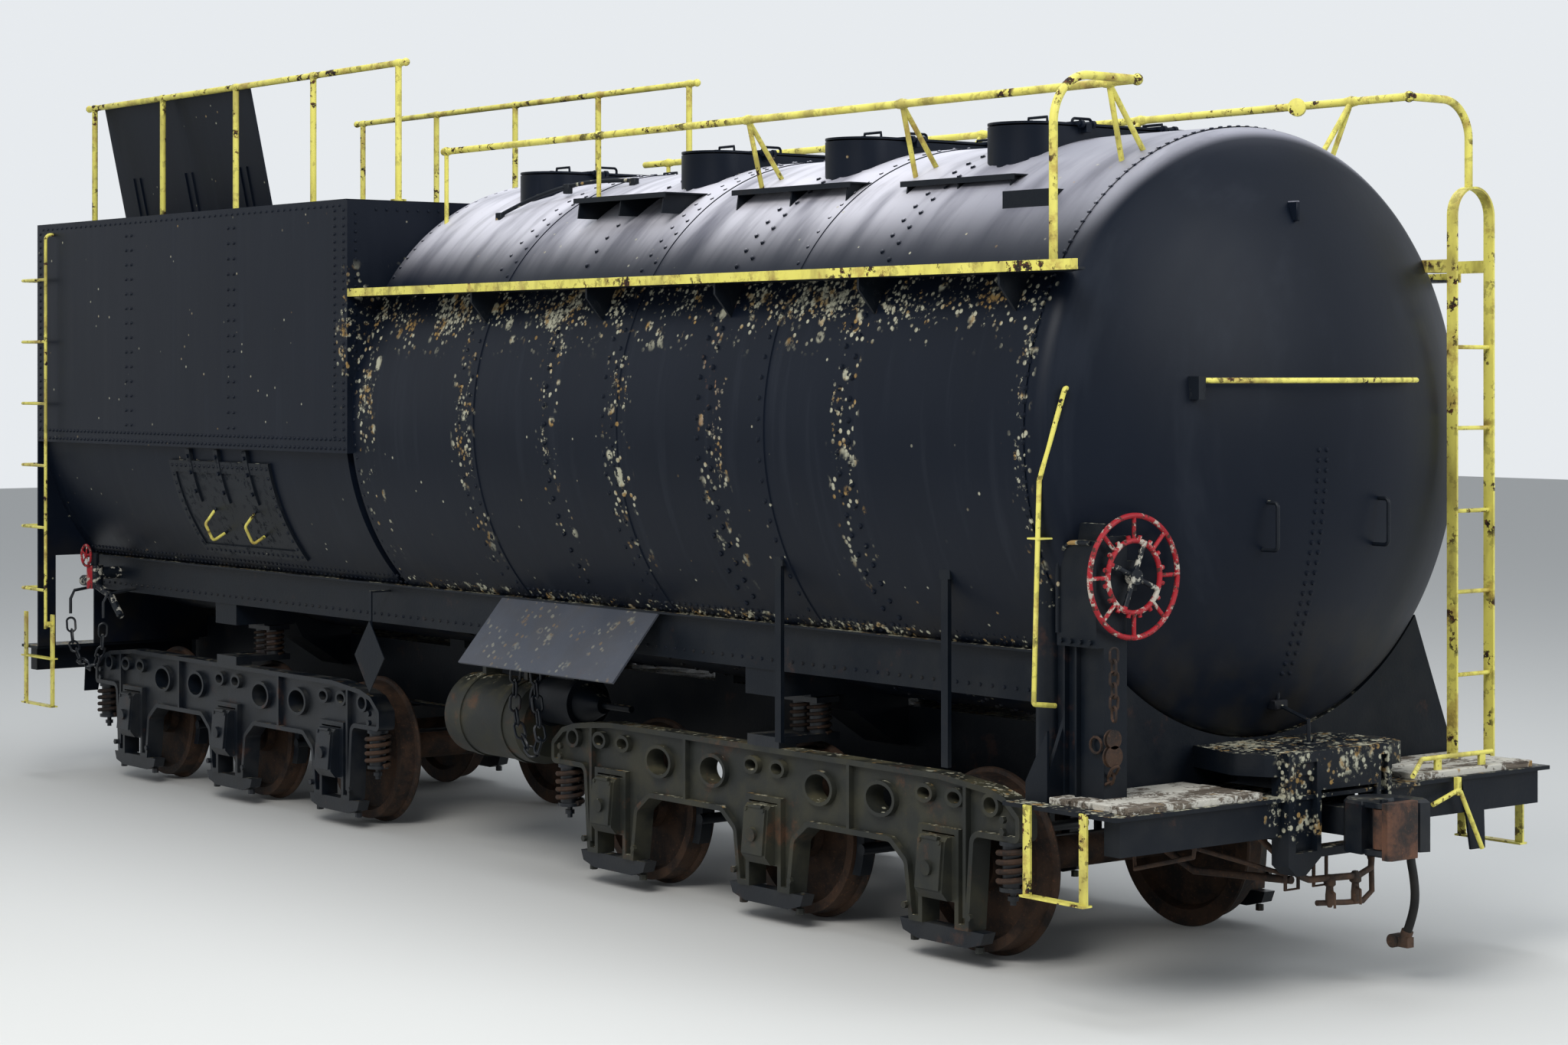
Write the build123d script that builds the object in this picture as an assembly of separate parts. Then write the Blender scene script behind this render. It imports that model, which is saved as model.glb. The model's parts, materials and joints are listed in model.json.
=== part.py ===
from build123d import *
import math
import os

os.makedirs("parts", exist_ok=True)

# Railway tank car: a riveted water tank with a coal bunker over one end, on two six-wheel trucks.
# Places are first given from the point midway between the trucks, at the top of the rails:
# X runs along the car towards the dished tank head, Y across it, Z up. save() then moves every
# piece so that the origin is under the middle of the car, at the bottom of the wheel flanges.
# Lengths are in millimetres. "Near" is the -Y side, "far" the +Y side, "left" the bunker end.

RUN = 0.3                  # clearance of a piece that turns on or stands close to another
CLEAR = 8.0                # free space between pieces that move apart

# Running gear
TRUCK_SPACING = 6114.0
AXLE_SPACING = 1451.0
TREAD_R = 457.0
FLANGE_DEPTH = 29.0
WHEEL_BACK_Y = 678.0       # inner face of a wheel
RIM_WIDTH = 137.0
AXLE_R = 85.0
JOURNAL_R = 70.0
JOURNAL_END_Y = 1085.0
AXLE_Z = TREAD_R
TRUCK_X = TRUCK_SPACING / 2

# Truck side frames
FRAME_Y0 = 960.0           # inner face of a truck side frame
FRAME_T = 120.0
FRAME_TOP_Z = 940.0
FRAME_HALF = 2060.0
FRAME_ARM_Z = 650.0        # underside of the arms that reach over the end springs
FRAME_EDGE = 30.0          # flange left round the pockets in a frame's faces
FRAME_POCKET = 34.0
OVAL_RIM = 20.0
RIB_W = 24.0
PEDESTAL_Z = 165.0
BOX_W = 250.0              # journal box
JAW_W = BOX_W + 2 * RUN
JAW_TOP_Z = 640.0
LEG_W = 105.0
ARCH_TOP_Z = 545.0
SPRING_X = 1950.0

# Truck bolsters and bearings
CENTRE_PLATE_Z = 670.0
CENTRE_PLATE_R = 175.0
SIDE_BEARING_Y = 745.0
SIDE_BEARING_Z = 1200.0
TRANSOM_HALF = 110.0
TRANSOM_Z0 = 560.0
TRANSOM_TOP_Z = 650.0
SHOE_Y = WHEEL_BACK_Y + 84.0
HANGER_Y = 560.0

# Tank
TANK_R = 1524.0
TANK_BOTTOM_Z = 1158.0
TANK_Z = TANK_BOTTOM_Z + TANK_R
HEAD_SEAM_X = TRUCK_X + 2593
HEAD_APEX_X = HEAD_SEAM_X + 480
HEAD_CROWN_R = 3050.0
PLATE = 14.0               # bunker and tank plates

# End decks
DECK_Z = 950.0
DECK_T = 20.0
DECK_X1 = TRUCK_X + 3223
DECK_X0 = DECK_X1 - 760
LEFT_BEAM_X = -(TRUCK_X + FRAME_HALF + 110)
LEFT_END_X = LEFT_BEAM_X - 133
DECK_HALF = TANK_R + 36
BEAM_Z = 760.0             # underside of the end beams
NOSE_Z = 1150.0            # top of the casting over each coupler
NOSE_DEPTH = 105.0
SADDLE_FRONT_X = HEAD_SEAM_X + 62
SADDLE_BACK_X = SADDLE_FRONT_X - 92
STRIKER_NEAR = 430.0
STRIKER_FAR = 310.0

# Bunker
BUNKER_X0 = LEFT_END_X + 270
BUNKER_X1 = -590.0
BUNKER_HALF = DECK_HALF
BUNKER_TOP_Z = TANK_Z + 1378
BUNKER_SKIRT_Z = TANK_Z - 212
FLOOR_LOW_Z = TANK_Z - 162
FLOOR_HIGH_Z = TANK_Z + 818
SLOPE_X0 = -3500.0         # foot of the slope sheet
BULKHEAD_Z0 = DECK_Z
LID_X0 = BUNKER_X0 + 160
LID_X1 = -2700.0
LID_HINGE_X = (LID_X0 + 300, (LID_X0 + LID_X1) / 2, LID_X1 - 300)
LID_HINGE_Y = 925.0
LID_EYE_R = 20.0
LID_PIN_R = 12.0
LID_INNER_Y = 40.0
LID_T = 10.0
LID_HINGE_Z = BUNKER_TOP_Z + LID_T + LID_EYE_R + CLEAR
LID_OPEN = 102.0

# Fill hatches on top of the tank: node, middle along the car, height of the rim
TANK_TOP_Z = TANK_Z + TANK_R
FILL_HATCHES = (("fill_lid_1", 150.0, TANK_TOP_Z + 9), ("fill_lid_2", 1860.0, TANK_TOP_Z + 44),
                ("fill_lid_3", 3200.0, TANK_TOP_Z + 44), ("fill_lid_4", 4540.0, TANK_TOP_Z + 44))
HATCH_W = 420.0
HATCH_LEN = 1400.0
HATCH_WALL = 10.0
HATCH_FOOT_Z = TANK_TOP_Z - 306
HATCH_LID_T = 12.0
HATCH_PIN_X = HATCH_W / 2 + 34
HATCH_PIN_RISE = 12.0
HATCH_PIN_R = 10.0
HATCH_EYE_Y = (-300.0, 300.0)
WELL_DEPTH = 350.0

# Rails, boards and steps
PIPE_R = 21.0
POST_R = 14.0
GRAB_R = 12.0
BUNKER_RAIL_Y = 1151.0
BUNKER_RAIL_Z = BUNKER_TOP_Z + 890
BUNKER_POST_X = (-4979.0, -3882.0, -2790.0, -1720.0, -635.0)
TANK_RAIL_Y = 877.0
TANK_RAIL_Z = TANK_TOP_Z + 184
TANK_RAIL_X = HEAD_SEAM_X + 82
TANK_POST_X = (-499.0, 1202.0)             # upright posts
TANK_BRACE_X = (2661.0, 3987.0, 5537.0)    # posts on a pair of spread feet
BRACE_FEET = ((-50.0, 735.0), (-10.0, 620.0))
BOARD_Z = TANK_Z + 818
BOARD_T = 45.0
BOARD_PLANK = 12.0
BOARD_Y = DECK_HALF
BOARD_INNER_Y = BOARD_Y - 270
BOARD_END_X = HEAD_SEAM_X + 373
BRACKET_X = (800.0, 2000.0, 3200.0, 4400.0, 5450.0)
# Step plates on the tank's shoulder: ends along the car, inner and outer edge
STEP_PLATES = ((1230.0, 2150.0, 755.0, 1080.0), (2590.0, 3630.0, 770.0, 940.0),
               (4010.0, 4890.0, 800.0, 910.0))
STEP_BOX = (4960.0, 5300.0, -1050.0, -880.0, 3790.0, 3880.0)
LADDER_X = HEAD_SEAM_X + 290
LADDER_Y = (BOARD_Y - 360, BOARD_Y - 66)
LADDER_TOP_Z = BOARD_Z + 445
LADDER_RUNGS = (3110.0, 2690.0, 2260.0, 1840.0, 1410.0)
STEP_DROP_Z = 520.0
STEP_Y = DECK_HALF + 6.0
RIGHT_STEP_X = (DECK_X1 - 580, DECK_X1 - 200)
CORNER_STILE_X = LEFT_END_X + 540
CORNER_STILE_Y = -(STEP_Y + 54)
CORNER_RUNGS = (3660.0, 3205.0, 2750.0, 2295.0, 1840.0, 1380.0)
RUNG_TURN_X = LEFT_END_X + 110
RUNG_Y = 80 - BUNKER_HALF
LEFT_STEP_X = (LEFT_END_X + 90, CORNER_STILE_X)
HEAD_RAIL_Z = 2940.0
HEAD_RAIL_Y = (740.0, 780.0)
GRAB_IRON_Y = (-350.0, 470.0)
GRAB_IRON_Z = (2120.0, 2350.0)
# Bent handhold from the head down to the near corner: places along the car, across it and up
NEAR_HANDHOLD = ((5740, -1330, 2912), (5800, -1420, 2900), (5711, -1500, 2469), (5674, -1500, 1416),
                 (5674, -1362, 1400))

# Underframe
SILL_WEB_Y = 165.0
SILL_Z0 = 700.0
SILL_Z1 = 1115.0
SILL_T = 16.0
SILL_FOOT = 70.0
SADDLE_X = (-4700.0, -1500.0, 0.0, 1500.0, 5200.0)
SKIRT_Y = 1085.0           # side sills under the tank
SKIRT_T = 12.0
SKIRT_Z = TANK_Z - math.sqrt(TANK_R ** 2 - (SKIRT_Y + SKIRT_T) ** 2)

# Fittings
VALVE_X = BUNKER_X0 + 400
VALVE_Y = -1290.0
VALVE_PIPE_Z = 1500.0
VALVE_PIPE_R = 45.0
NOZZLE_Z = VALVE_PIPE_Z - 60
NOZZLE_R = 25.0
NOZZLE_OUT = 180.0
HATCH_DOOR_X = (-3080.0, -1680.0)
HATCH_DOOR_ANGLE = (11.4, 38.2)            # below the level of the tank's middle
BRAKE_WHEEL = (DECK_X1 - 280, -1163.0, 2020.0)
BRAKE_WHEEL_R = 300.0
BRAKE_RING_R = 170.0
CASING_X = (DECK_X1 - 695, DECK_X1 - 320)
CASING_Y = -1320.0
CASING_TOP_Z = 2270.0
RESERVOIR_X = (-310.0, 560.0)
RESERVOIR_R = 255.0
BRAKE_CYLINDER_X1 = 950.0
PLACARD = (-831.0, -1250.0, 1160.0)
DROP_BAR_X = (3560.0, 4890.0)

# Couplers, modelled at the right end from the swing pin
COUPLER_Z = 810.0
COUPLER_REACH = 800.0      # swing pin to the knuckle's face
COUPLER_HALF = 125.0       # half the height of the head
SWING_PIN_R = 30.0
KNUCKLE_PIN = (COUPLER_REACH - 120, -95.0)
KNUCKLE_PIN_R = 20.0
LUG_Z = 100.0              # inner side of the lugs that hold the knuckle
LUG_R = 60.0
RIGHT_PIN_X = DECK_X1 - 360
LEFT_PIN_X = LEFT_END_X + 310

# Air hoses and their cocks
HOSE_Y = 380.0
HOSE_R = 22.0
HOSE_FILL = 0.45           # share of the shorter run that an arc takes
COCK_Z = 735.0
COCK_X = DECK_X1 + 75      # middle of the cock's downward outlet
COCK_FOOT_Z = 680.0
# Hose route from the cock down to the gladhand, as distance beyond the cock and height
HOSE_ROUTE = ((0.0, COCK_FOOT_Z), (0.0, 600.0), (24.0, 505.0), (34.0, 400.0), (14.0, 305.0), (-16.0, 235.0))

MIDDLE_X = (RIGHT_PIN_X + LEFT_PIN_X) / 2
TO_ORIGIN = Location((-MIDDLE_X, 0, FLANGE_DEPTH))


def save(name, pieces):
    """Write one node: a solid, or several solids that share it."""
    found = []
    for piece in pieces:
        found.extend(piece.moved(TO_ORIGIN).solids())
    shape = found[0] if len(found) == 1 else Compound(children=found)
    export_step(shape, f"parts/{name}.step")


def block(x0, x1, y0, y1, z0, z1):
    size = (x1 - x0, y1 - y0, z1 - z0)
    return Pos((x0 + x1) / 2, (y0 + y1) / 2, (z0 + z1) / 2) * Box(*size)


def rod(radius, start, end):
    """A round bar from start to end."""
    start, end = Vector(*start), Vector(*end)
    along = end - start
    plane = Plane(origin=start, z_dir=along)
    return extrude(plane * Circle(radius), along.length)


def tube_run(radius, points, bend):
    """A bar of one section bent through the points."""
    path = FilletPolyline(*points, radius=bend)
    return sweep(Plane(origin=path @ 0, z_dir=path % 0) * Circle(radius), path=path)


def hoop(centre, axis, radius, section_r):
    """A ring of twelve-sided section about an axis."""
    section = Plane.XZ * Pos(radius, 0) * RegularPolygon(section_r, 12)
    return Plane(origin=centre, z_dir=axis) * revolve(section, Axis.Z)


def prism_y(points, y0, y1):
    """An outline in X and Z, made solid from y0 to y1."""
    face = make_face(Polyline(*[(x, y0, z) for x, z in points], close=True))
    return extrude(face, y1 - y0, dir=(0, 1, 0))


def prism_x(points, x0, x1):
    """An outline in Y and Z, made solid from x0 to x1."""
    face = make_face(Polyline(*[(x0, y, z) for y, z in points], close=True))
    return extrude(face, x1 - x0, dir=(1, 0, 0))


def prism_z(points, z0, z1):
    """An outline in X and Y, made solid from z0 to z1."""
    face = make_face(Polyline(*[(x, y, z0) for x, y in points], close=True))
    return extrude(face, z1 - z0, dir=(0, 0, 1))


def both_sides(piece):
    """A piece and its mirror image across the car."""
    return [piece, piece.mirror(Plane.XZ)]


def at_end(piece, side):
    """A piece made for the right end, kept there or turned round to the left end."""
    if side > 0:
        return piece
    return piece.rotate(Axis.Z, 180).moved(Location((DECK_X1 + LEFT_END_X, 0, 0)))


def tank_rise(y):
    """Height of the tank's upper side at a distance from the middle."""
    return TANK_Z + math.sqrt(TANK_R ** 2 - y ** 2)


def head_x(y, z):
    """Where the dished head's surface stands at a place across the car."""
    off = math.hypot(y, z - TANK_Z)
    return HEAD_APEX_X - HEAD_CROWN_R + math.sqrt(HEAD_CROWN_R ** 2 - off ** 2)


def tank_cylinder(x0, x1, radius=TANK_R):
    return rod(radius, (x0, 0, TANK_Z), (x1, 0, TANK_Z))


def tank_patch(x_ends, angles, thickness):
    """A curved plate on the tank's near side, between two angles below its middle."""
    x0, x1 = x_ends
    plate = tank_cylinder(x0, x1, TANK_R + thickness) - tank_cylinder(x0 - 1, x1 + 1)
    corners = [(0, TANK_Z)]
    for angle in angles:
        turn = math.radians(angle)
        corners.append((-2 * TANK_R * math.cos(turn), TANK_Z - 2 * TANK_R * math.sin(turn)))
    return plate & prism_x(corners, x0, x1)


# Tank and bunker

def tank_outline():
    """Half section of the cylinder behind the bunker and its dished head."""
    knuckle_r = 120.0
    centre_x = HEAD_APEX_X - HEAD_CROWN_R
    knuckle_x = centre_x + math.sqrt((HEAD_CROWN_R - knuckle_r) ** 2 - (TANK_R - knuckle_r) ** 2)
    turn = math.atan2(TANK_R - knuckle_r, knuckle_x - centre_x)
    join = (centre_x + HEAD_CROWN_R * math.cos(turn), HEAD_CROWN_R * math.sin(turn))
    half = math.pi / 4 + turn / 2
    knuckle_mid = (knuckle_x + knuckle_r * math.cos(half), TANK_R - knuckle_r + knuckle_r * math.sin(half))
    crown_mid = (centre_x + HEAD_CROWN_R * math.cos(turn / 2), HEAD_CROWN_R * math.sin(turn / 2))
    return [
        Line((BUNKER_X1 + PLATE, 0), (BUNKER_X1 + PLATE, TANK_R)),
        Line((BUNKER_X1 + PLATE, TANK_R), (knuckle_x, TANK_R)),
        ThreePointArc((knuckle_x, TANK_R), knuckle_mid, join),
        ThreePointArc(join, crown_mid, (HEAD_APEX_X, 0)),
        Line((HEAD_APEX_X, 0), (BUNKER_X1 + PLATE, 0)),
    ]


def tank_body():
    return revolve(make_face(tank_outline()), Axis.X).moved(Location((0, 0, TANK_Z)))


TANK_BODY = tank_body()


def tank_shell():
    """The tank with an oblong well under each fill hatch, a lifting lug and a stay's bracket."""
    tank = TANK_BODY
    width, length = HATCH_W - 2 * HATCH_WALL, HATCH_LEN - 2 * HATCH_WALL
    for _, x, rim_z in FILL_HATCHES:
        tank -= hatch_ring(x, rim_z - WELL_DEPTH, width, length, WELL_DEPTH)
    lug_z = 3780.0
    lug_x = head_x(0, lug_z)
    lug = block(lug_x - 80, lug_x + 55, -12, 12, lug_z - 55, lug_z + 45)
    lug -= rod(18, (lug_x + 25, -20, lug_z), (lug_x + 25, 20, lug_z))
    stay_z = 1330.0
    stay_x = head_x(0, stay_z)
    stay = block(stay_x - 60, stay_x + 40, -45, 45, stay_z - 25, stay_z + 25)
    return tank + lug + stay


def slope_outline(lift):
    """Top of the bunker floor as X and Z, raised or lowered by lift."""
    return [(BUNKER_X0 + PLATE, FLOOR_LOW_Z + lift), (SLOPE_X0, FLOOR_LOW_Z + lift),
            (BUNKER_X1, FLOOR_HIGH_Z + lift)]


def bunker_trough():
    """The tank's lower part, which runs on under the bunker floor."""
    trough = tank_cylinder(BUNKER_X0 + PLATE, BUNKER_X1)
    above = slope_outline(-PLATE) + [(BUNKER_X1, TANK_Z + 2 * TANK_R), (BUNKER_X0, TANK_Z + 2 * TANK_R)]
    return trough - prism_y(above, -2 * TANK_R, 2 * TANK_R)


def bunker_floor():
    top = slope_outline(0)
    bottom = slope_outline(-PLATE)
    width = BUNKER_HALF - PLATE
    return prism_y(top + bottom[::-1], -width, width)


def bunker_sides():
    wall = block(BUNKER_X0 + PLATE, BUNKER_X1, -BUNKER_HALF, PLATE - BUNKER_HALF, BUNKER_SKIRT_Z,
                 BUNKER_TOP_Z)
    inner_y = math.sqrt(TANK_R ** 2 - (TANK_Z - BUNKER_SKIRT_Z) ** 2)
    foot = block(BUNKER_X0 + PLATE, BUNKER_X1, PLATE - BUNKER_HALF, 20 - inner_y, BUNKER_SKIRT_Z,
                 BUNKER_SKIRT_Z + PLATE)
    foot -= tank_cylinder(BUNKER_X0, BUNKER_X1)
    return both_sides(wall + foot)


def bunker_ends():
    """Front bulkhead, cut for the centre sill and for the water hose, and the rear wall."""
    front = block(BUNKER_X0, BUNKER_X0 + PLATE, -BUNKER_HALF, BUNKER_HALF, BULKHEAD_Z0, BUNKER_TOP_Z)
    for y0, y1, top_z in ((-SILL_WEB_Y - RUN, SILL_WEB_Y + RUN, SILL_Z1 + RUN),
                          (VALVE_Y - 130, VALVE_Y + 180, NOZZLE_Z + 180)):
        front -= block(BUNKER_X0 - 1, BUNKER_X0 + PLATE + 1, y0, y1, BULKHEAD_Z0 - 1, top_z)
    rear = block(BUNKER_X1, BUNKER_X1 + PLATE, -BUNKER_HALF, BUNKER_HALF, BUNKER_SKIRT_Z, BUNKER_TOP_Z)
    rear += tank_cylinder(BUNKER_X1, BUNKER_X1 + PLATE)
    return [front, rear]


def bunker_roof():
    """Roof plate with its two loading openings and the lugs and pins of the lids."""
    roof = block(BUNKER_X0, BUNKER_X1, -BUNKER_HALF, BUNKER_HALF, BUNKER_TOP_Z, BUNKER_TOP_Z + LID_T)
    hole_y0, hole_y1 = LID_INNER_Y + 40, LID_HINGE_Y - 60
    for y0, y1 in ((-hole_y1, -hole_y0), (hole_y0, hole_y1)):
        roof -= block(LID_X0 + 40, LID_X1 - 40, y0, y1, BUNKER_TOP_Z - 1, BUNKER_TOP_Z + LID_T + 1)
    for y in (-LID_HINGE_Y, LID_HINGE_Y):
        for x in LID_HINGE_X:
            roof += block(x - 30, x + 30, y - 18, y + 18, BUNKER_TOP_Z + LID_T, LID_HINGE_Z + 16)
            roof += rod(LID_PIN_R, (x - 70, y, LID_HINGE_Z), (x + 70, y, LID_HINGE_Z))
    return roof


def bunker_lid(side):
    """A closed lid: plate and hinge straps with eyes on the roof's pins."""
    z0 = BUNKER_TOP_Z + LID_T + CLEAR
    hinge_y = side * LID_HINGE_Y
    y0, y1 = sorted((side * (LID_HINGE_Y - 30), side * LID_INNER_Y))
    lid = block(LID_X0, LID_X1, y0, y1, z0, z0 + LID_T)
    strap_y0, strap_y1 = sorted((hinge_y, side * 600))
    for hinge_x in LID_HINGE_X:
        for x in (hinge_x - 60, hinge_x + 40):
            lid += block(x, x + 20, strap_y0, strap_y1, z0 + LID_T, z0 + 2 * LID_T)
            lid += rod(LID_EYE_R, (x, hinge_y, LID_HINGE_Z), (x + 20, hinge_y, LID_HINGE_Z))
            lid -= rod(LID_PIN_R + RUN, (x - 5, hinge_y, LID_HINGE_Z), (x + 25, hinge_y, LID_HINGE_Z))
    return lid


def near_lid_open():
    lid = bunker_lid(-1)
    hinge = Axis((0, -LID_HINGE_Y, LID_HINGE_Z), (1, 0, 0))
    return lid.rotate(hinge, LID_OPEN)


# Fill hatches

def hatch_ring(x, z, width, length, height):
    plane = Plane(origin=(x, 0, z), x_dir=(0, 1, 0), z_dir=(0, 0, 1))
    return extrude(plane * SlotOverall(length, width), height)


def fill_coaming(x, rim_z):
    """Oblong neck on the tank with the pins of its lid."""
    wall = hatch_ring(x, HATCH_FOOT_Z, HATCH_W, HATCH_LEN, rim_z - HATCH_FOOT_Z)
    wall -= hatch_ring(x, HATCH_FOOT_Z - 10, HATCH_W - 2 * HATCH_WALL, HATCH_LEN - 2 * HATCH_WALL, rim_z)
    wall -= tank_cylinder(BUNKER_X1, HEAD_SEAM_X)
    pin_x, pin_z = x + HATCH_PIN_X, rim_z + HATCH_PIN_RISE
    for y in HATCH_EYE_Y:
        wall += block(x + HATCH_W / 2, pin_x + 16, y - 20, y + 20, rim_z - 30, pin_z - 2)
        wall += rod(HATCH_PIN_R, (pin_x, y - 60, pin_z), (pin_x, y + 60, pin_z))
    return wall


def fill_lid(x, rim_z):
    """Oblong lid with two straps, their hinge eyes and a handle."""
    z0 = rim_z + CLEAR
    lid = hatch_ring(x, z0, HATCH_W, HATCH_LEN, HATCH_LID_T)
    pin_x, pin_z = x + HATCH_PIN_X, rim_z + HATCH_PIN_RISE
    for y in HATCH_EYE_Y:
        for y0 in (y - 50, y + 30):
            lid += block(x + 100, pin_x, y0, y0 + 20, z0, z0 + HATCH_LID_T + 8)
            lid += rod(LID_EYE_R, (pin_x, y0, pin_z), (pin_x, y0 + 20, pin_z))
            lid -= rod(HATCH_PIN_R + RUN, (pin_x, y0 - 5, pin_z), (pin_x, y0 + 25, pin_z))
    grip_x, grip_y = x - 110, 70
    handle = tube_run(8, [(grip_x, -grip_y, z0 + 5), (grip_x, -grip_y, z0 + 70), (grip_x, grip_y, z0 + 70),
                          (grip_x, grip_y, z0 + 5)], 20)
    return lid + handle


# Rails and boards

def bunker_rail():
    ends = (BUNKER_POST_X[0] - 90, BUNKER_POST_X[-1] + 90)
    foot_z = BUNKER_TOP_Z + LID_T
    rail = rod(PIPE_R, (ends[0], -BUNKER_RAIL_Y, BUNKER_RAIL_Z), (ends[1], -BUNKER_RAIL_Y, BUNKER_RAIL_Z))
    for x in ends:
        rail += Pos(x, -BUNKER_RAIL_Y, BUNKER_RAIL_Z) * Sphere(PIPE_R * 1.25)
    for x in BUNKER_POST_X:
        rail += rod(PIPE_R, (x, -BUNKER_RAIL_Y, foot_z), (x, -BUNKER_RAIL_Y, BUNKER_RAIL_Z))
        rail += Pos(x, -BUNKER_RAIL_Y, BUNKER_RAIL_Z) * Sphere(PIPE_R * 1.25)
        rail += rod(50, (x, -BUNKER_RAIL_Y, foot_z), (x, -BUNKER_RAIL_Y, foot_z + 12))
    return rail


def tank_rail_posts():
    """Upright posts and the posts on spread feet, for the near rail."""
    posts = None
    for x in TANK_POST_X:
        post = rod(POST_R, (x, -TANK_RAIL_Y, tank_rise(TANK_RAIL_Y) - 40), (x, -TANK_RAIL_Y, TANK_RAIL_Z))
        posts = post if posts is None else posts + post
    for x in TANK_BRACE_X:
        for foot_dx, foot_y in BRACE_FEET:
            foot = (x + foot_dx, -foot_y, tank_rise(foot_y) - 20)
            posts += rod(POST_R, foot, (x, -TANK_RAIL_Y, TANK_RAIL_Z))
    for x in TANK_POST_X + TANK_BRACE_X:
        posts += Pos(x, -TANK_RAIL_Y, TANK_RAIL_Z) * Sphere(PIPE_R * 1.4)
    return posts - tank_cylinder(BUNKER_X1, HEAD_SEAM_X)


def tank_rail_near():
    """Rail over the tank, its end bent down to the running board."""
    drop_x, drop_y = TANK_RAIL_X + 23, -1450.0
    rail = rod(PIPE_R, (TANK_POST_X[0], -TANK_RAIL_Y, TANK_RAIL_Z), (TANK_RAIL_X, -TANK_RAIL_Y, TANK_RAIL_Z))
    rail += tube_run(PIPE_R, [(TANK_RAIL_X, -TANK_RAIL_Y, TANK_RAIL_Z), (drop_x, drop_y, TANK_RAIL_Z),
                              (drop_x, drop_y, BOARD_Z - BOARD_T + BOARD_PLANK)], 240)
    return rail + tank_rail_posts() + Pos(TANK_RAIL_X, -TANK_RAIL_Y, TANK_RAIL_Z) * Sphere(PIPE_R * 1.4)


def tank_rail_far():
    """Rail over the tank's far side, its end bent down to the end ladder."""
    corner_x = LADDER_X - 15
    drop_y = (LADDER_Y[0] + LADDER_Y[1]) / 2
    start_x = TANK_POST_X[0] - 270
    rail = rod(PIPE_R, (start_x, TANK_RAIL_Y, TANK_RAIL_Z), (corner_x, TANK_RAIL_Y, TANK_RAIL_Z))
    rail += tube_run(PIPE_R, [(corner_x, TANK_RAIL_Y, TANK_RAIL_Z), (corner_x, drop_y, TANK_RAIL_Z),
                              (corner_x, drop_y, LADDER_TOP_Z)], 200)
    rail += Pos(corner_x, TANK_RAIL_Y, TANK_RAIL_Z) * Sphere(PIPE_R * 1.4)
    return rail + tank_rail_posts().mirror(Plane.XZ)


def board_bracket(x):
    z1 = BOARD_Z - BOARD_T
    outline = [(40 - BOARD_Y, z1), (-1200, z1), (-1200, z1 - 220), (-1380, z1 - 220),
               (40 - BOARD_Y, z1 - 60)]
    return prism_x(outline, x - 8, x + 8)


def running_board(x1, slant):
    """Plank with a raised outer edge and brackets; beyond the tank's seam its inner side slants out."""
    z0 = BOARD_Z - BOARD_T
    x0 = BUNKER_X1 + PLATE
    plan = [(x0, -BOARD_Y), (x1, -BOARD_Y), (x1, 60 - BOARD_Y), (x1 - slant, -BOARD_INNER_Y),
            (x0, -BOARD_INNER_Y)]
    board = prism_z(plan, z0, z0 + BOARD_PLANK)
    board += block(x0, x1, -BOARD_Y, BOARD_PLANK - BOARD_Y, z0, BOARD_Z + 5)
    for x in BRACKET_X:
        board += board_bracket(x)
    return board - tank_cylinder(BUNKER_X1, HEAD_APEX_X)


def step_plate(x0, x1, inner_y, outer_y):
    """Plate that stands out level from the tank's shoulder on three webs."""
    z = tank_rise(inner_y)
    plate = block(x0, x1, -outer_y, -inner_y, z - 8, z) + block(x0, x1, -outer_y, 6 - outer_y, z - 30, z)
    web = [(20 - outer_y, z - 8), (-inner_y, z - 8), (-inner_y, z - 120), (4 - outer_y, z - 120)]
    for x in (x0 + 40, (x0 + x1) / 2, x1 - 40):
        plate += prism_x(web, x - 5, x + 5)
    return plate - tank_cylinder(BUNKER_X1, HEAD_SEAM_X)


def tank_steps():
    box = block(*STEP_BOX) - tank_cylinder(BUNKER_X1, HEAD_SEAM_X)
    return [step_plate(*place) for place in STEP_PLATES] + [box]


# Ladders, handholds and steps

def end_ladder():
    """Ladder at the head end: two flat stiles joined by an arch over the top."""
    flat_w = 65.0
    flat_t = 12.0
    y0, y1 = LADDER_Y
    mid_y = (y0 + y1) / 2
    outer_r = (y1 - y0 + flat_t) / 2
    arch_z = LADDER_TOP_Z - outer_r
    x0, x1 = LADDER_X - flat_w / 2, LADDER_X + flat_w / 2
    ladder = rod(outer_r, (x0, mid_y, arch_z), (x1, mid_y, arch_z))
    ladder -= rod(outer_r - flat_t, (x0 - 1, mid_y, arch_z), (x1 + 1, mid_y, arch_z))
    ladder -= block(x0 - 1, x1 + 1, mid_y - outer_r, mid_y + outer_r, arch_z - outer_r, arch_z)
    for y in LADDER_Y:
        side0, side1 = y - flat_t / 2, y + flat_t / 2
        ladder += block(x0, x1, side0, side1, DECK_Z, arch_z)
        ladder += block(HEAD_SEAM_X + 50, LADDER_X, side0, side1, BOARD_Z, BOARD_Z + flat_w)
    for z in LADDER_RUNGS:
        ladder += rod(11, (LADDER_X, y0, z), (LADDER_X, y1, z))
    ladder += block(HEAD_SEAM_X - 60, HEAD_SEAM_X + 50, y0 - 6, y1 + 6, BOARD_Z + 6, BOARD_Z + 16)
    return ladder - TANK_BODY


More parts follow.
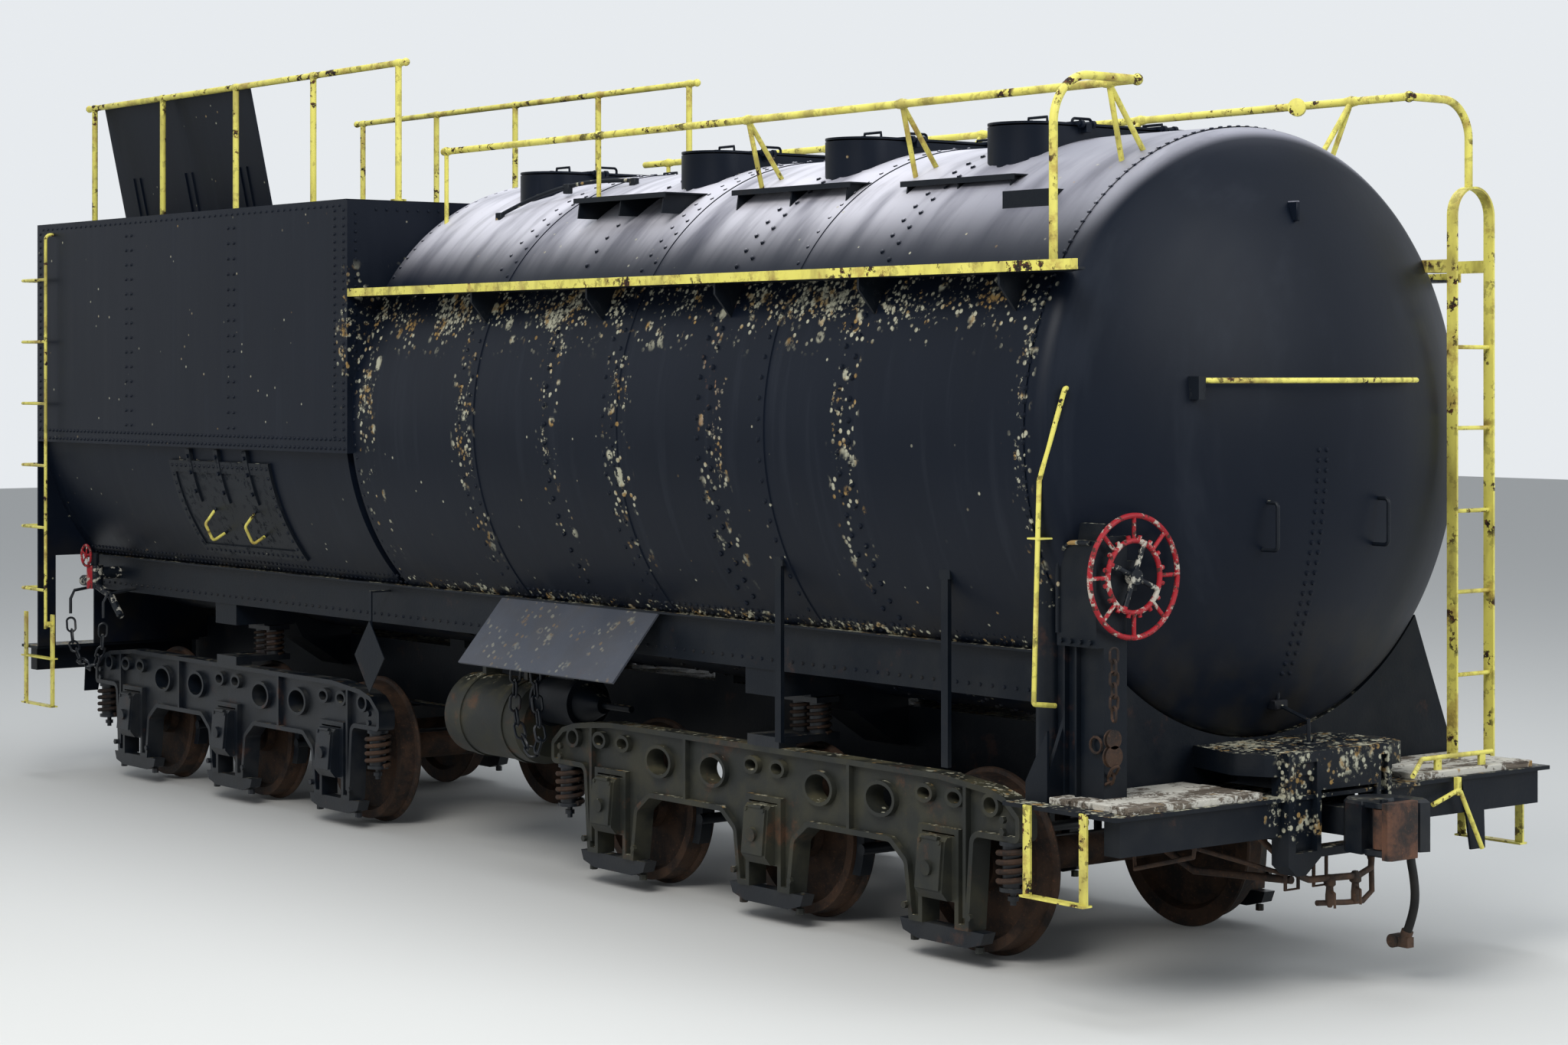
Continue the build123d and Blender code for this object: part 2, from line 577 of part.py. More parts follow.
def corner_ladder():
    """Ladder at the bunker's corner: one round stile and rungs that turn back to the front wall."""
    stile = tube_run(GRAB_R, [(CORNER_STILE_X, -BUNKER_HALF, 3990), (CORNER_STILE_X, CORNER_STILE_Y, 3990),
                              (CORNER_STILE_X, CORNER_STILE_Y, 1100)], 40)
    stile += block(CORNER_STILE_X - GRAB_R, CORNER_STILE_X + GRAB_R, CORNER_STILE_Y, -STEP_Y - 6, 1110, 1150)
    for z in CORNER_RUNGS:
        stile += tube_run(11, [(CORNER_STILE_X, CORNER_STILE_Y, z), (RUNG_TURN_X, CORNER_STILE_Y, z),
                               (RUNG_TURN_X, RUNG_Y, z), (BUNKER_X0, RUNG_Y, z)], 50)
    return stile


def corner_handhold():
    """Tall grab iron on the far corner of the bunker."""
    top_z, low_z = 2900, 1500
    grab = [(CORNER_STILE_X, BUNKER_HALF, top_z), (CORNER_STILE_X, -CORNER_STILE_Y, top_z),
            (CORNER_STILE_X, -CORNER_STILE_Y, low_z), (CORNER_STILE_X, STEP_Y + 6, low_z)]
    foot = block(CORNER_STILE_X - 20, CORNER_STILE_X + 20, STEP_Y + 6, STEP_Y + 12, 1150, low_z + 30)
    return tube_run(GRAB_R, grab, 40) + foot


def stirrup(x_ends, y, top_z, treads):
    """A hanging step: two flat legs and its treads."""
    x0, x1 = x_ends
    step = block(x0 - 25, x1 + 25, y - 30, y + 30, treads[0], treads[0] + 10)
    for z in treads[1:]:
        step += block(x0 - 25, x1 + 25, y - 30, y + 30, z, z + 10)
    for x in x_ends:
        step += block(x - 25, x + 25, y - 6, y + 6, STEP_DROP_Z, top_z)
    return step


def head_rail():
    """Curved handrail across the tank head, with a plate bracket at its near end."""
    near_y, end_y = HEAD_RAIL_Y
    bow = HEAD_APEX_X - 20
    end_x = head_x(end_y, HEAD_RAIL_Z) - 60
    points = [(end_x, -end_y, HEAD_RAIL_Z), (bow, -near_y, HEAD_RAIL_Z), (HEAD_APEX_X + 130, 0, HEAD_RAIL_Z),
              (bow, near_y, HEAD_RAIL_Z), (end_x, end_y, HEAD_RAIL_Z)]
    bracket = block(end_x, end_x + 120, -end_y - 30, 18 - end_y, HEAD_RAIL_Z - 90, HEAD_RAIL_Z + 20)
    return tube_run(GRAB_R + 1, points, 90) + bracket - TANK_BODY


def grab_iron(y):
    """Upright grab iron on the tank head."""
    z0, z1 = GRAB_IRON_Z
    back, out = head_x(y, z0) - 70, head_x(y, z1) + 65
    return tube_run(GRAB_R - 2, [(back, y, z0), (out, y, z0), (out, y, z1), (back, y, z1)], 25) - TANK_BODY


def near_handhold():
    """Bent grab iron from the near side of the head down to the casing on the end deck."""
    grab = tube_run(GRAB_R, NEAR_HANDHOLD, 12)
    eye = block(5640, 5720, -1512, -1360, 2192, 2200)
    return grab + eye - TANK_BODY


def uncoupling_lever():
    """Rod over the deck's far front edge, to lift the coupler's lock, and its hanging handle."""
    lever_x, z = DECK_X1 - 70, DECK_Z + 95
    lever = tube_run(GRAB_R, [(lever_x, 1180, z), (lever_x, 640, z), (DECK_X1 + 160, 300, z - 35)], 60)
    for y in (760, 1100):
        lever += block(lever_x - 8, lever_x + 8, y - 22, y + 22, DECK_Z, z)
    hook_x = DECK_X1 + 24
    handle = tube_run(GRAB_R, [(hook_x, 610, 830), (hook_x, 815, 890), (hook_x, 990, 580)], 25)
    handle += block(DECK_X1, hook_x, 800, 830, 860, DECK_Z)
    return [lever, handle]


# Underframe

def centre_sill():
    """Riveted box sill with the trucks' centre plates, the coupler pins and the tank's saddles."""
    x0, x1 = LEFT_END_X + 90, DECK_X1 - 90
    sill = block(x0, x1, -SILL_WEB_Y, SILL_WEB_Y, SILL_Z1 - SILL_T, SILL_Z1)
    for side in (-1, 1):
        y0, y1 = sorted((side * (SILL_WEB_Y - SILL_T), side * SILL_WEB_Y))
        sill += block(x0, x1, y0, y1, SILL_Z0, SILL_Z1)
        y0, y1 = sorted((side * (SILL_WEB_Y - SILL_T), side * (SILL_WEB_Y + SILL_FOOT)))
        sill += block(x0, x1, y0, y1, SILL_Z0, SILL_Z0 + SILL_T)
    for x in (-TRUCK_X, TRUCK_X):
        sill += rod(CENTRE_PLATE_R, (x, 0, CENTRE_PLATE_Z + RUN), (x, 0, SILL_Z0))
        sill += block(x - 260, x + 260, -SILL_WEB_Y, SILL_WEB_Y, SILL_Z0, SILL_Z0 + SILL_T)
    for x in (RIGHT_PIN_X, LEFT_PIN_X):
        sill += rod(SWING_PIN_R, (x, 0, SILL_Z0), (x, 0, SILL_Z1))
        sill += block(x - 60, x + 60, -SILL_WEB_Y, SILL_WEB_Y, SILL_Z0, SILL_Z0 + SILL_T)
    for x in SADDLE_X:
        sill += block(x - 90, x + 90, -SILL_WEB_Y, SILL_WEB_Y, SILL_Z1, SILL_Z1 + 120)
    return sill - tank_cylinder(BUNKER_X0, HEAD_SEAM_X)


def body_bolster(x):
    """Cross bearer over a truck, cut to the tank's curve."""
    half_w = 150.0
    pad_z = SIDE_BEARING_Z + 20
    outline = [(-SKIRT_Y, pad_z), (125 - SIDE_BEARING_Y, pad_z), (-560, 1110),
               (-SILL_WEB_Y - SILL_FOOT, 900), (-SILL_WEB_Y, 900), (-SILL_WEB_Y, 1500), (-SKIRT_Y, 1700)]
    web = prism_x(outline, x - half_w, x + half_w)
    web += block(x - half_w, x + half_w, -SIDE_BEARING_Y - 120, 120 - SIDE_BEARING_Y,
                 SIDE_BEARING_Z + CLEAR, pad_z)
    web -= tank_cylinder(BUNKER_X0, HEAD_SEAM_X)
    return both_sides(web)


def side_sill():
    """Angle riveted along the tank's lower side."""
    x0, x1 = BUNKER_X0 + PLATE, SADDLE_BACK_X
    sill = block(x0, x1, -SKIRT_Y - SKIRT_T, -SKIRT_Y, SKIRT_Z - 260, SKIRT_Z)
    sill += block(x0, x1, -SKIRT_Y - 60, 20 - SKIRT_Y, SKIRT_Z - SKIRT_T, SKIRT_Z)
    sill -= tank_cylinder(BUNKER_X0, HEAD_APEX_X)
    sill -= rod(VALVE_PIPE_R + RUN, (VALVE_X, -900, VALVE_PIPE_Z), (VALVE_X, -1300, VALVE_PIPE_Z))
    return both_sides(sill)


def head_saddle():
    """Upright plate across the end deck, curved to the tank, with the flange that holds the tank."""
    x1 = SADDLE_FRONT_X
    outline = [(-1450, DECK_Z), (-1450, 1060), (-1150, 1770), (1150, 1770), (1450, 1060), (1450, DECK_Z)]
    plate = prism_x(outline, x1 - 22, x1) - tank_cylinder(x1 - 30, x1 + 10)
    flange = tank_cylinder(SADDLE_BACK_X, x1, TANK_R + 16) - tank_cylinder(x1 - 100, x1 + 10)
    flange &= block(x1 - 100, x1 + 10, -1150, 1150, TANK_BOTTOM_Z - 20, 1770)
    gusset = prism_y([(x1, 1290), (x1 - 150, 1040), (x1 - 150, DECK_Z), (x1, DECK_Z)], -1450, -1436)
    return plate + flange + gusset


def nose():
    """Rounded cover over the coupler's pocket, from the saddle to the end beam."""
    x0, x1 = SADDLE_FRONT_X, DECK_X1 + 10
    half = [(x0, 470), (x0 + 340, 560), (x1 - 60, 470), (x1, 200)]
    face = make_face(Polyline(*[(x, -y) for x, y in half], *half[::-1], close=True))
    face = fillet([v for v in face.vertices() if v.X > x0 + 1], 80)
    cover = extrude(Pos(0, 0, NOSE_Z - NOSE_DEPTH) * face, NOSE_DEPTH)
    hollow = extrude(Pos(0, 0, NOSE_Z - NOSE_DEPTH - 1) * offset(face, amount=-16), NOSE_DEPTH - 15)
    return cover - hollow


def striker():
    """Casting round the coupler's shank, with a post at each side."""
    top = NOSE_Z + 10
    outline = [(-STRIKER_NEAR, top), (-STRIKER_NEAR, 620), (60 - STRIKER_NEAR, 570),
               (120 - STRIKER_NEAR, 570), (-200, 650), (200, 650), (STRIKER_FAR - 70, 600),
               (STRIKER_FAR, 640), (STRIKER_FAR, top)]
    casting = prism_x(outline, DECK_X1 - 90, DECK_X1 + 20)
    casting -= block(DECK_X1 - 91, DECK_X1 + 21, -200, 200, 690, DECK_Z + 20)
    for y0, y1 in ((50 - STRIKER_NEAR, -230), (230, STRIKER_FAR - 30)):
        casting -= block(DECK_X1 - 20, DECK_X1 + 21, y0, y1, 680, top - 50)
    return casting


def end_deck(back_x):
    """Deck plate with its beam, saddle, nose and striker, cut off where the car's body begins."""
    beam_half, sill_half = DECK_HALF - 60, SILL_WEB_Y + SILL_FOOT
    deck = block(DECK_X0, DECK_X1, -DECK_HALF, DECK_HALF, DECK_Z - DECK_T, DECK_Z)
    deck += block(DECK_X1 - 133, DECK_X1 - 30, -beam_half, beam_half, BEAM_Z, DECK_Z - DECK_T)
    deck -= block(DECK_X0 - 1, DECK_X1 - 90, -sill_half, sill_half, 600, DECK_Z + 10)
    deck -= block(DECK_X1 - 90, DECK_X1 - 29, -200, 200, 600, DECK_Z - DECK_T)
    deck += head_saddle() + nose() + striker()
    deck += prism_x([(885, DECK_Z - DECK_T), (1050, DECK_Z - DECK_T), (1066, 570), (955, 570)], DECK_X1 - 30,
                    DECK_X1 - 18)
    deck -= block(DECK_X0 - 100, DECK_X1 - 90, -SILL_WEB_Y, SILL_WEB_Y, SILL_Z0, SILL_Z1)
    deck -= TANK_BODY
    return deck - block(DECK_X0 - 200, back_x, -2 * DECK_HALF, 2 * DECK_HALF, 0, 2 * TANK_Z)


def end_decks():
    """The right deck and, turned round, the shorter left one."""
    left_back = DECK_X1 + LEFT_END_X - BUNKER_X0
    return [end_deck(DECK_X0 - 50), at_end(end_deck(left_back), -1)]


# Couplers

def coupler_body():
    """Shank with its pin eye, and a head with the guard arm and the lugs that hold the knuckle."""
    x, y = KNUCKLE_PIN
    back, face = COUPLER_REACH - 390, COUPLER_REACH - 190
    body = block(-70, back, -65, 65, -65, 65) + rod(70, (0, 0, -65), (0, 0, 65))
    plan = [(back, -65), (back + 30, -110), (back + 90, -165), (face, -175), (face, 60), (face + 80, 75),
            (face + 130, 95), (face + 145, 150), (face + 80, 190), (back + 90, 165), (back + 30, 110),
            (back, 65)]
    head = prism_z(plan, -COUPLER_HALF, COUPLER_HALF)
    body += chamfer(head.faces().sort_by(Axis.Z)[-1].edges(), 14)
    for z0, z1 in ((-COUPLER_HALF, -LUG_Z), (LUG_Z, COUPLER_HALF)):
        body += rod(LUG_R, (x, y, z0), (x, y, z1)) + block(face - 10, x, y - LUG_R, y + LUG_R, z0, z1)
    body += rod(KNUCKLE_PIN_R, (x, y, -COUPLER_HALF - 12), (x, y, COUPLER_HALF + 12))
    return body - rod(SWING_PIN_R + RUN, (0, 0, -120), (0, 0, 120))


def knuckle():
    """Hook that turns on its pin: a hub between the lugs and the tall face in front of them."""
    x, y = KNUCKLE_PIN
    tall, hub = COUPLER_HALF + 10, LUG_Z - 5
    plan = [(x + LUG_R + CLEAR, y - 95), (COUPLER_REACH - 14, y - 100), (COUPLER_REACH, y - 80),
            (COUPLER_REACH, y + 100), (COUPLER_REACH - 14, y + 118), (x + LUG_R + CLEAR, y + 118)]
    jaw = prism_z(plan, -tall, tall)
    jaw += rod(LUG_R - 8, (x, y, -hub), (x, y, hub))
    jaw += block(x, COUPLER_REACH - 30, y - 45, y + 45, -hub, hub)
    return jaw - rod(KNUCKLE_PIN_R + RUN, (x, y, -tall - 1), (x, y, tall + 1))


def place_coupler(piece, pin_x):
    turn = 0 if pin_x > 0 else 180
    return piece.rotate(Axis.Z, turn).moved(Location((pin_x, 0, COUPLER_Z)))


# Trucks

def axle_places():
    return (-AXLE_SPACING, 0.0, AXLE_SPACING)


def frame_outline():
    """Edge of a side frame in X and Z: level top, arms, and arches between three jaws for the boxes."""
    leg = JAW_W / 2 + LEG_W
    slope = [(0, 160), (110, 70), (240, 35), (600, 0)]    # from the end and below the top
    outline = [(run - FRAME_HALF, FRAME_TOP_Z - drop) for run, drop in slope]
    outline += [(FRAME_HALF - run, FRAME_TOP_Z - drop) for run, drop in reversed(slope)]
    outline += [(FRAME_HALF, FRAME_ARM_Z)]
    for x in reversed(axle_places()):
        outer_z = FRAME_ARM_Z if x > 0 else ARCH_TOP_Z - 90
        inner_z = FRAME_ARM_Z if x < 0 else ARCH_TOP_Z - 90
        outline += [(x + leg + 40, outer_z), (x + leg, PEDESTAL_Z), (x + JAW_W / 2, PEDESTAL_Z),
                    (x + JAW_W / 2, JAW_TOP_Z), (x - JAW_W / 2, JAW_TOP_Z), (x - JAW_W / 2, PEDESTAL_Z),
                    (x - leg, PEDESTAL_Z), (x - leg - 40, inner_z)]
        if x > -AXLE_SPACING:
            outline += [(x - leg - 160, ARCH_TOP_Z), (x - AXLE_SPACING + leg + 160, ARCH_TOP_Z)]
    return outline + [(-FRAME_HALF, FRAME_ARM_Z)]


def frame_ovals():
    """Holes that lighten a side frame: middle in X and Z, width and height."""
    holes = []
    for x in axle_places():
        holes += [(x - 116, 828, 95, 60), (x + 116, 828, 95, 60)]
    for x in (-AXLE_SPACING / 2, AXLE_SPACING / 2):
        holes += [(x - 255, 760, 210, 150), (x + 255, 760, 210, 150)]
    end_z = FRAME_TOP_Z - 120
    return holes + [(-1840, end_z, 90, 80), (1840, end_z, 90, 80)]


def side_frame(centre_x):
    """Cast frame: a web with flanges along every edge, rims round the holes and upright ribs."""
    outer = make_face(Polyline(*frame_outline(), close=True))
    bends = [v for v in outer.vertices() if v.Y > PEDESTAL_Z + 1 and abs(v.Y - JAW_TOP_Z) > 1]
    outer = fillet(bends, 40)
    pockets = offset(outer, amount=-FRAME_EDGE, kind=Kind.INTERSECTION)
    for x, z, width, height in frame_ovals():
        outer -= Pos(x, z) * Ellipse(width / 2, height / 2)
        pockets -= Pos(x, z) * Ellipse(width / 2 + OVAL_RIM, height / 2 + OVAL_RIM)
    for x in (-1650, -AXLE_SPACING / 2, AXLE_SPACING / 2, 1650):
        pockets -= Pos(x, FRAME_ARM_Z) * Rectangle(RIB_W, 2 * FRAME_T + 600)
    inner_face = Plane(origin=(0, -FRAME_Y0, 0), x_dir=(1, 0, 0), z_dir=(0, -1, 0))
    frame = extrude(inner_face * outer, FRAME_T)
    frame -= extrude(inner_face * pockets, FRAME_POCKET)
    frame -= extrude(inner_face.offset(FRAME_T - FRAME_POCKET) * pockets, FRAME_POCKET)
    return frame.moved(Location((centre_x, 0, 0)))


def pedestal_ties(centre_x):
    """Boat-shaped tie bars that close the jaws from below."""
    found = []
    for x in axle_places():
        outline = [(x - 325, PEDESTAL_Z), (x - 300, 105), (x - 190, 75), (x + 190, 75), (x + 300, 105),
                   (x + 325, PEDESTAL_Z)]
        tie = prism_y(outline, -FRAME_Y0 - FRAME_T + 20, -FRAME_Y0 - 20)
        found += both_sides(tie.moved(Location((centre_x, 0, 0))))
    return found


def journal_box(x):
    """Box in the frame's jaw with the journal's bore, and its tilted lid with hinge and boss."""
    front_y = -FRAME_Y0 - FRAME_T - 30
    box = block(x - BOX_W / 2, x + BOX_W / 2, -FRAME_Y0 - FRAME_T, 60 - FRAME_Y0, 300, 630)
    mouth = [(-FRAME_Y0 - FRAME_T + 20, 305), (front_y, 305), (front_y - 38, 350), (front_y - 16, 605),
             (front_y, 625), (-FRAME_Y0 - FRAME_T + 20, 625)]
    box += prism_x(mouth, x - 105, x + 105)
    lid = [(front_y - 36, 362), (front_y - 52, 360), (front_y - 30, 606), (front_y - 14, 608)]
    box += prism_x(lid, x - 92, x + 92)
    box += rod(14, (x - 60, front_y - 20, 616), (x + 60, front_y - 20, 616))
    box += rod(38, (x, front_y - 30, 470), (x, front_y - 62, 467))
    return box - rod(JOURNAL_R + RUN, (x, 100 - FRAME_Y0, AXLE_Z), (x, -JOURNAL_END_Y - RUN, AXLE_Z))


def journal_boxes(centre_x):
    found = []
    for x in axle_places():
        found += both_sides(journal_box(x + centre_x))
    return found


def truck_bolster(centre_x):
    """Two cross transoms joined by a pair of beams over the middle axle, with the centre bowl."""
    bolster = rod(CENTRE_PLATE_R + 60, (0, 0, TRANSOM_Z0), (0, 0, CENTRE_PLATE_Z))
    for side in (-1, 1):
        y0, y1 = sorted((side * 120, side * 300))
        bolster += block(-AXLE_SPACING / 2, AXLE_SPACING / 2, y0, y1, TRANSOM_Z0, TRANSOM_TOP_Z)
        x = side * AXLE_SPACING / 2
        bolster += block(x - TRANSOM_HALF, x + TRANSOM_HALF, -FRAME_Y0, FRAME_Y0, TRANSOM_Z0, TRANSOM_TOP_Z)
    return bolster.moved(Location((centre_x, 0, 0)))


def side_bearing(centre_x):
    """Arm from the frame's top over the middle wheel, with its pair of spring posts and cap."""
    arm_z = FRAME_TOP_Z + 20
    outer_y = -FRAME_Y0 - FRAME_T
    arm = block(-140, 140, outer_y, 90 - SIDE_BEARING_Y, arm_z, arm_z + 40)
    arm += block(-140, 140, outer_y, -FRAME_Y0, FRAME_TOP_Z, arm_z)
    for x in (-75, 75):
        arm += rod(55, (x, -SIDE_BEARING_Y, arm_z + 40), (x, -SIDE_BEARING_Y, SIDE_BEARING_Z - 30))
    arm += block(-150, 150, -SIDE_BEARING_Y - 80, 80 - SIDE_BEARING_Y, SIDE_BEARING_Z - 30, SIDE_BEARING_Z)
    return both_sides(arm.moved(Location((centre_x, 0, 0))))


def end_springs(centre_x):
    """Spring, its seats and its hanger bolt under each end of the side frames."""
    found = []
    y = -FRAME_Y0 - FRAME_T / 2
    for x in (-SPRING_X, SPRING_X):
        spring = rod(55, (x, y, 420), (x, y, FRAME_ARM_Z - 20))
        spring += rod(70, (x, y, 400), (x, y, 420)) + rod(70, (x, y, FRAME_ARM_Z - 20), (x, y, FRAME_ARM_Z))
        spring += rod(16, (x, y, 330), (x, y, 400)) + rod(28, (x, y, 352), (x, y, 376))
        found += both_sides(spring.moved(Location((centre_x, 0, 0))))
    return found


def brake_beam(centre_x, x, side):
    """Brake beam with shoes beside an axle's wheels, hung from a transom."""
    reach = TREAD_R + CLEAR
    beam_x, beam_z = x + side * (reach + 70), AXLE_Z - 40
    gear = rod(30, (beam_x, -SHOE_Y - 68, beam_z), (beam_x, SHOE_Y + 68, beam_z))
    for y in (-SHOE_Y, SHOE_Y):
        shoe = rod(reach + 60, (x, y - 38, AXLE_Z), (x, y + 38, AXLE_Z))
        shoe -= rod(reach, (x, y - 50, AXLE_Z), (x, y + 50, AXLE_Z))
        x0, x1 = sorted((x + side * (reach - 60), x + side * (reach + 80)))
        gear += shoe & block(x0, x1, y - 50, y + 50, AXLE_Z - 190, AXLE_Z + 110)
    transom_x = x + side * (AXLE_SPACING / 2 - TRANSOM_HALF)
    for y in (-HANGER_Y, HANGER_Y):
        x0, x1 = sorted((transom_x, beam_x - side * 12))
        gear += block(x0, x1, y - 20, y + 20, TRANSOM_Z0 + 20, TRANSOM_Z0 + 60)
        gear += block(beam_x - 12, beam_x + 12, y - 20, y + 20, beam_z, TRANSOM_Z0 + 60)
    return gear.moved(Location((centre_x, 0, 0)))


def brake_gear(centre_x):
    places = ((-AXLE_SPACING, 1), (0.0, 1), (AXLE_SPACING, -1))
    return [brake_beam(centre_x, x, side) for x, side in places]


def wheelset(x):
    """Axle with its journals and two flanged wheels pressed on it, which turn together."""
    back = WHEEL_BACK_Y
    face = back + RIM_WIDTH
    flange_r = TREAD_R + FLANGE_DEPTH
    bore = AXLE_R + RUN
    seat = face + 60
    axle = [(0, -JOURNAL_END_Y), (JOURNAL_R, -JOURNAL_END_Y), (JOURNAL_R, -seat - 5), (AXLE_R, -seat),
            (AXLE_R, seat), (JOURNAL_R, seat + 5), (JOURNAL_R, JOURNAL_END_Y), (0, JOURNAL_END_Y)]
    wheel = [(bore, back - 30), (140, back - 30), (140, back + 20), (370, back + 45), (395, back),
             (flange_r - 6, back), (flange_r, back + 12), (flange_r - 6, back + 26),
             (TREAD_R + 4, back + 36), (TREAD_R - 4, face), (400, face), (380, face - 60),
             (150, face - 40), (140, face + 15), (bore, face + 15)]
    turned = [revolve(make_face(Polyline(*profile, close=True)), Axis.Y) for profile in (axle, wheel)]
    place = Location((x, 0, AXLE_Z))
    return [turned[0].moved(place)] + both_sides(turned[1].moved(place))


# Brake gear and fittings on the body

def handbrake_wheel():
    """Wheel on a lengthways shaft: rim, eight short spokes, a knobbed inner ring and a four-armed hub."""
    x, y, z = BRAKE_WHEEL
    wheel = rod(38, (x - 22, y, z), (x + 22, y, z)) + rod(20, (CASING_X[1], y, z), (x - 20, y, z))
    for arms, start, end, radius, first in ((8, BRAKE_RING_R, BRAKE_WHEEL_R - 15, 10, 0),
                                            (4, 24, BRAKE_RING_R, 13, 22.5)):
        for k in range(arms):
            turn = math.radians(first + k * 360 / arms)
            out_y, out_z = math.sin(turn), math.cos(turn)
            inner = (x, y + start * out_y, z + start * out_z)
            wheel += rod(radius, inner, (x, y + end * out_y, z + end * out_z))
    wheel += hoop(BRAKE_WHEEL, (1, 0, 0), BRAKE_RING_R, 13)
    for k in range(16):
        turn = math.radians(11.25 + k * 22.5)
        out_y, out_z = BRAKE_RING_R * math.sin(turn), BRAKE_RING_R * math.cos(turn)
        wheel += rod(11, (x, y + out_y, z + out_z), (x, y + 1.15 * out_y, z + 1.15 * out_z))
    return wheel + hoop(BRAKE_WHEEL, (1, 0, 0), BRAKE_WHEEL_R - 13, 13)


def handbrake_housing():
    """Casing on the near corner of the deck: rounded column, panel with ribs, and the gear case."""
    x0, x1 = CASING_X
    casing = block(x0, x1, CASING_Y, CASING_Y + 24, DECK_Z, CASING_TOP_Z)
    casing += rod(62, (x0, CASING_Y, DECK_Z), (x0, CASING_Y, CASING_TOP_Z - 40))
    casing += block(x1 - 24, x1, CASING_Y, CASING_Y + 150, DECK_Z, CASING_TOP_Z - 60)
    case = make_face(Polyline((x0 + 110, 1690), (x1, 1690), (x1, 2190), (x0 + 110, 2190), close=True))
    case = fillet(case.vertices().group_by(Axis.X)[0].sort_by(Axis.Y)[-1:], 120)
    front = Plane(origin=(0, CASING_Y + 24, 0), x_dir=(1, 0, 0), z_dir=(0, -1, 0))
    casing += extrude(front * case, 74)
    casing += block(x1 - 60, x1, CASING_Y, BRAKE_WHEEL[1] + 60, BRAKE_WHEEL[2] - 70, BRAKE_WHEEL[2] + 70)
    for x in (x0 + 130, x0 + 210):
        casing += block(x, x + 12, CASING_Y - 30, CASING_Y, DECK_Z, 1690)
    return casing - head_saddle() - TANK_BODY


def brake_cylinder():
    """Air cylinder in line with the reservoir, with its cone, push rod and hanger."""
    y, z = -780.0, 980.0
    x0, x1 = RESERVOIR_X[1], BRAKE_CYLINDER_X1
    drum = rod(150, (x0, y, z), (x1, y, z)) + rod(170, (x0, y, z), (x0 + 22, y, z))
    drum += rod(158, (x1 - 22, y, z), (x1, y, z))
    cone = extrude(Plane(origin=(x1, y, z), z_dir=(1, 0, 0)) * Circle(120), 170, taper=22)
    push = rod(20, (x1 + 150, y, z), (x1 + 450, y, z))
    hanger = block(x0 + 60, x1 - 60, y - 60, y + 60, z + 100, 1500) - tank_cylinder(BUNKER_X0, HEAD_SEAM_X)
    return drum + cone + push + hanger


def air_reservoir():
    """Drum with rounded ends, hung from the tank by two straps."""
    y, z = -780.0, 825.0
    x0, x1 = RESERVOIR_X
    drum = rod(RESERVOIR_R, (x0 + 40, y, z), (x1 - 40, y, z))
    for x, side in ((x0 + 40, -1), (x1 - 40, 1)):
        drum += extrude(Plane(origin=(x, y, z), z_dir=(side, 0, 0)) * Circle(RESERVOIR_R), 40, taper=50)
    for x in (x0 + 200, x1 - 200):
        drum += rod(RESERVOIR_R + 8, (x - 30, y, z), (x + 30, y, z))
        drum += block(x - 20, x + 20, y - 60, y + 60, z + 200, 1500)
    return drum - tank_cylinder(BUNKER_X0, HEAD_SEAM_X)


def slant_cover():
    """Sloping sheet below the side sill."""
    top_z = SKIRT_Z - SKIRT_T
    top_y = -SKIRT_Y - SKIRT_T
    outline = [(top_y - 47, top_z), (-1460, 1240), (-1450, 1232), (top_y - 33, top_z)]
    return prism_x(outline, 560, 2170)


def drop_bars():
    """Two flat bars that hang from the tank's lower side."""
    found = []
    for x in DROP_BAR_X:
        bar = block(x - 25, x + 25, -1372, -1348, 1030, 2040)
        bar += block(x - 40, x + 40, -1372, -1300, 1960, 2040)
        found.append(bar - tank_cylinder(BUNKER_X1, HEAD_SEAM_X))
    return found


def placard_holder():
    """Blank diamond holder on a stem below the side sill."""
    x, y, z = PLACARD
    high, wide = 230.0, 184.0
    plate = prism_y([(x, z + high), (x + wide, z), (x, z - high), (x - wide, z)], y, y + 6)
    stem = block(x - 15, x + 15, y + 6, y + 16, z, 1580)
    stem += block(x - 15, x + 15, y + 6, -SKIRT_Y - SKIRT_T, 1570, 1580)
    return plate + stem


def water_valve():
    """Outlet elbow with a small upright handwheel, a hose nozzle and a drain pipe."""
    x, y, z = VALVE_X, VALVE_Y, VALVE_PIPE_Z
    body = rod(VALVE_PIPE_R, (x, -900, z), (x, y, z)) - tank_cylinder(BUNKER_X0, HEAD_SEAM_X)
    body += rod(60, (x, y, z - 110), (x, y, z + 60)) + rod(30, (x, y, z + 60), (x, y, z + 150))
    wheel_y, wheel_z = y - 70, z + 134
    body += rod(14, (x, y - 20, wheel_z), (x, wheel_y - 12, wheel_z))
    for k in range(5):
        turn = math.radians(10 + 72 * k)
        out_x, out_z = math.cos(turn), math.sin(turn)
        inner = (x + 8 * out_x, wheel_y, wheel_z + 8 * out_z)
        body += rod(6, inner, (x + 72 * out_x, wheel_y, wheel_z + 72 * out_z))
    body += hoop((x, wheel_y, wheel_z), (0, 1, 0), 76, 9)
    body += tube_run(26, [(x, y, z - 80), (x + 260, y, z - 150), (x + 420, y, z - 290)], 60)
    body += rod(40, (x, y, NOZZLE_Z), (x - NOZZLE_OUT, y, NOZZLE_Z))
    return body - rod(NOZZLE_R, (x - NOZZLE_OUT + 60, y, NOZZLE_Z), (x - NOZZLE_OUT - 1, y, NOZZLE_Z))


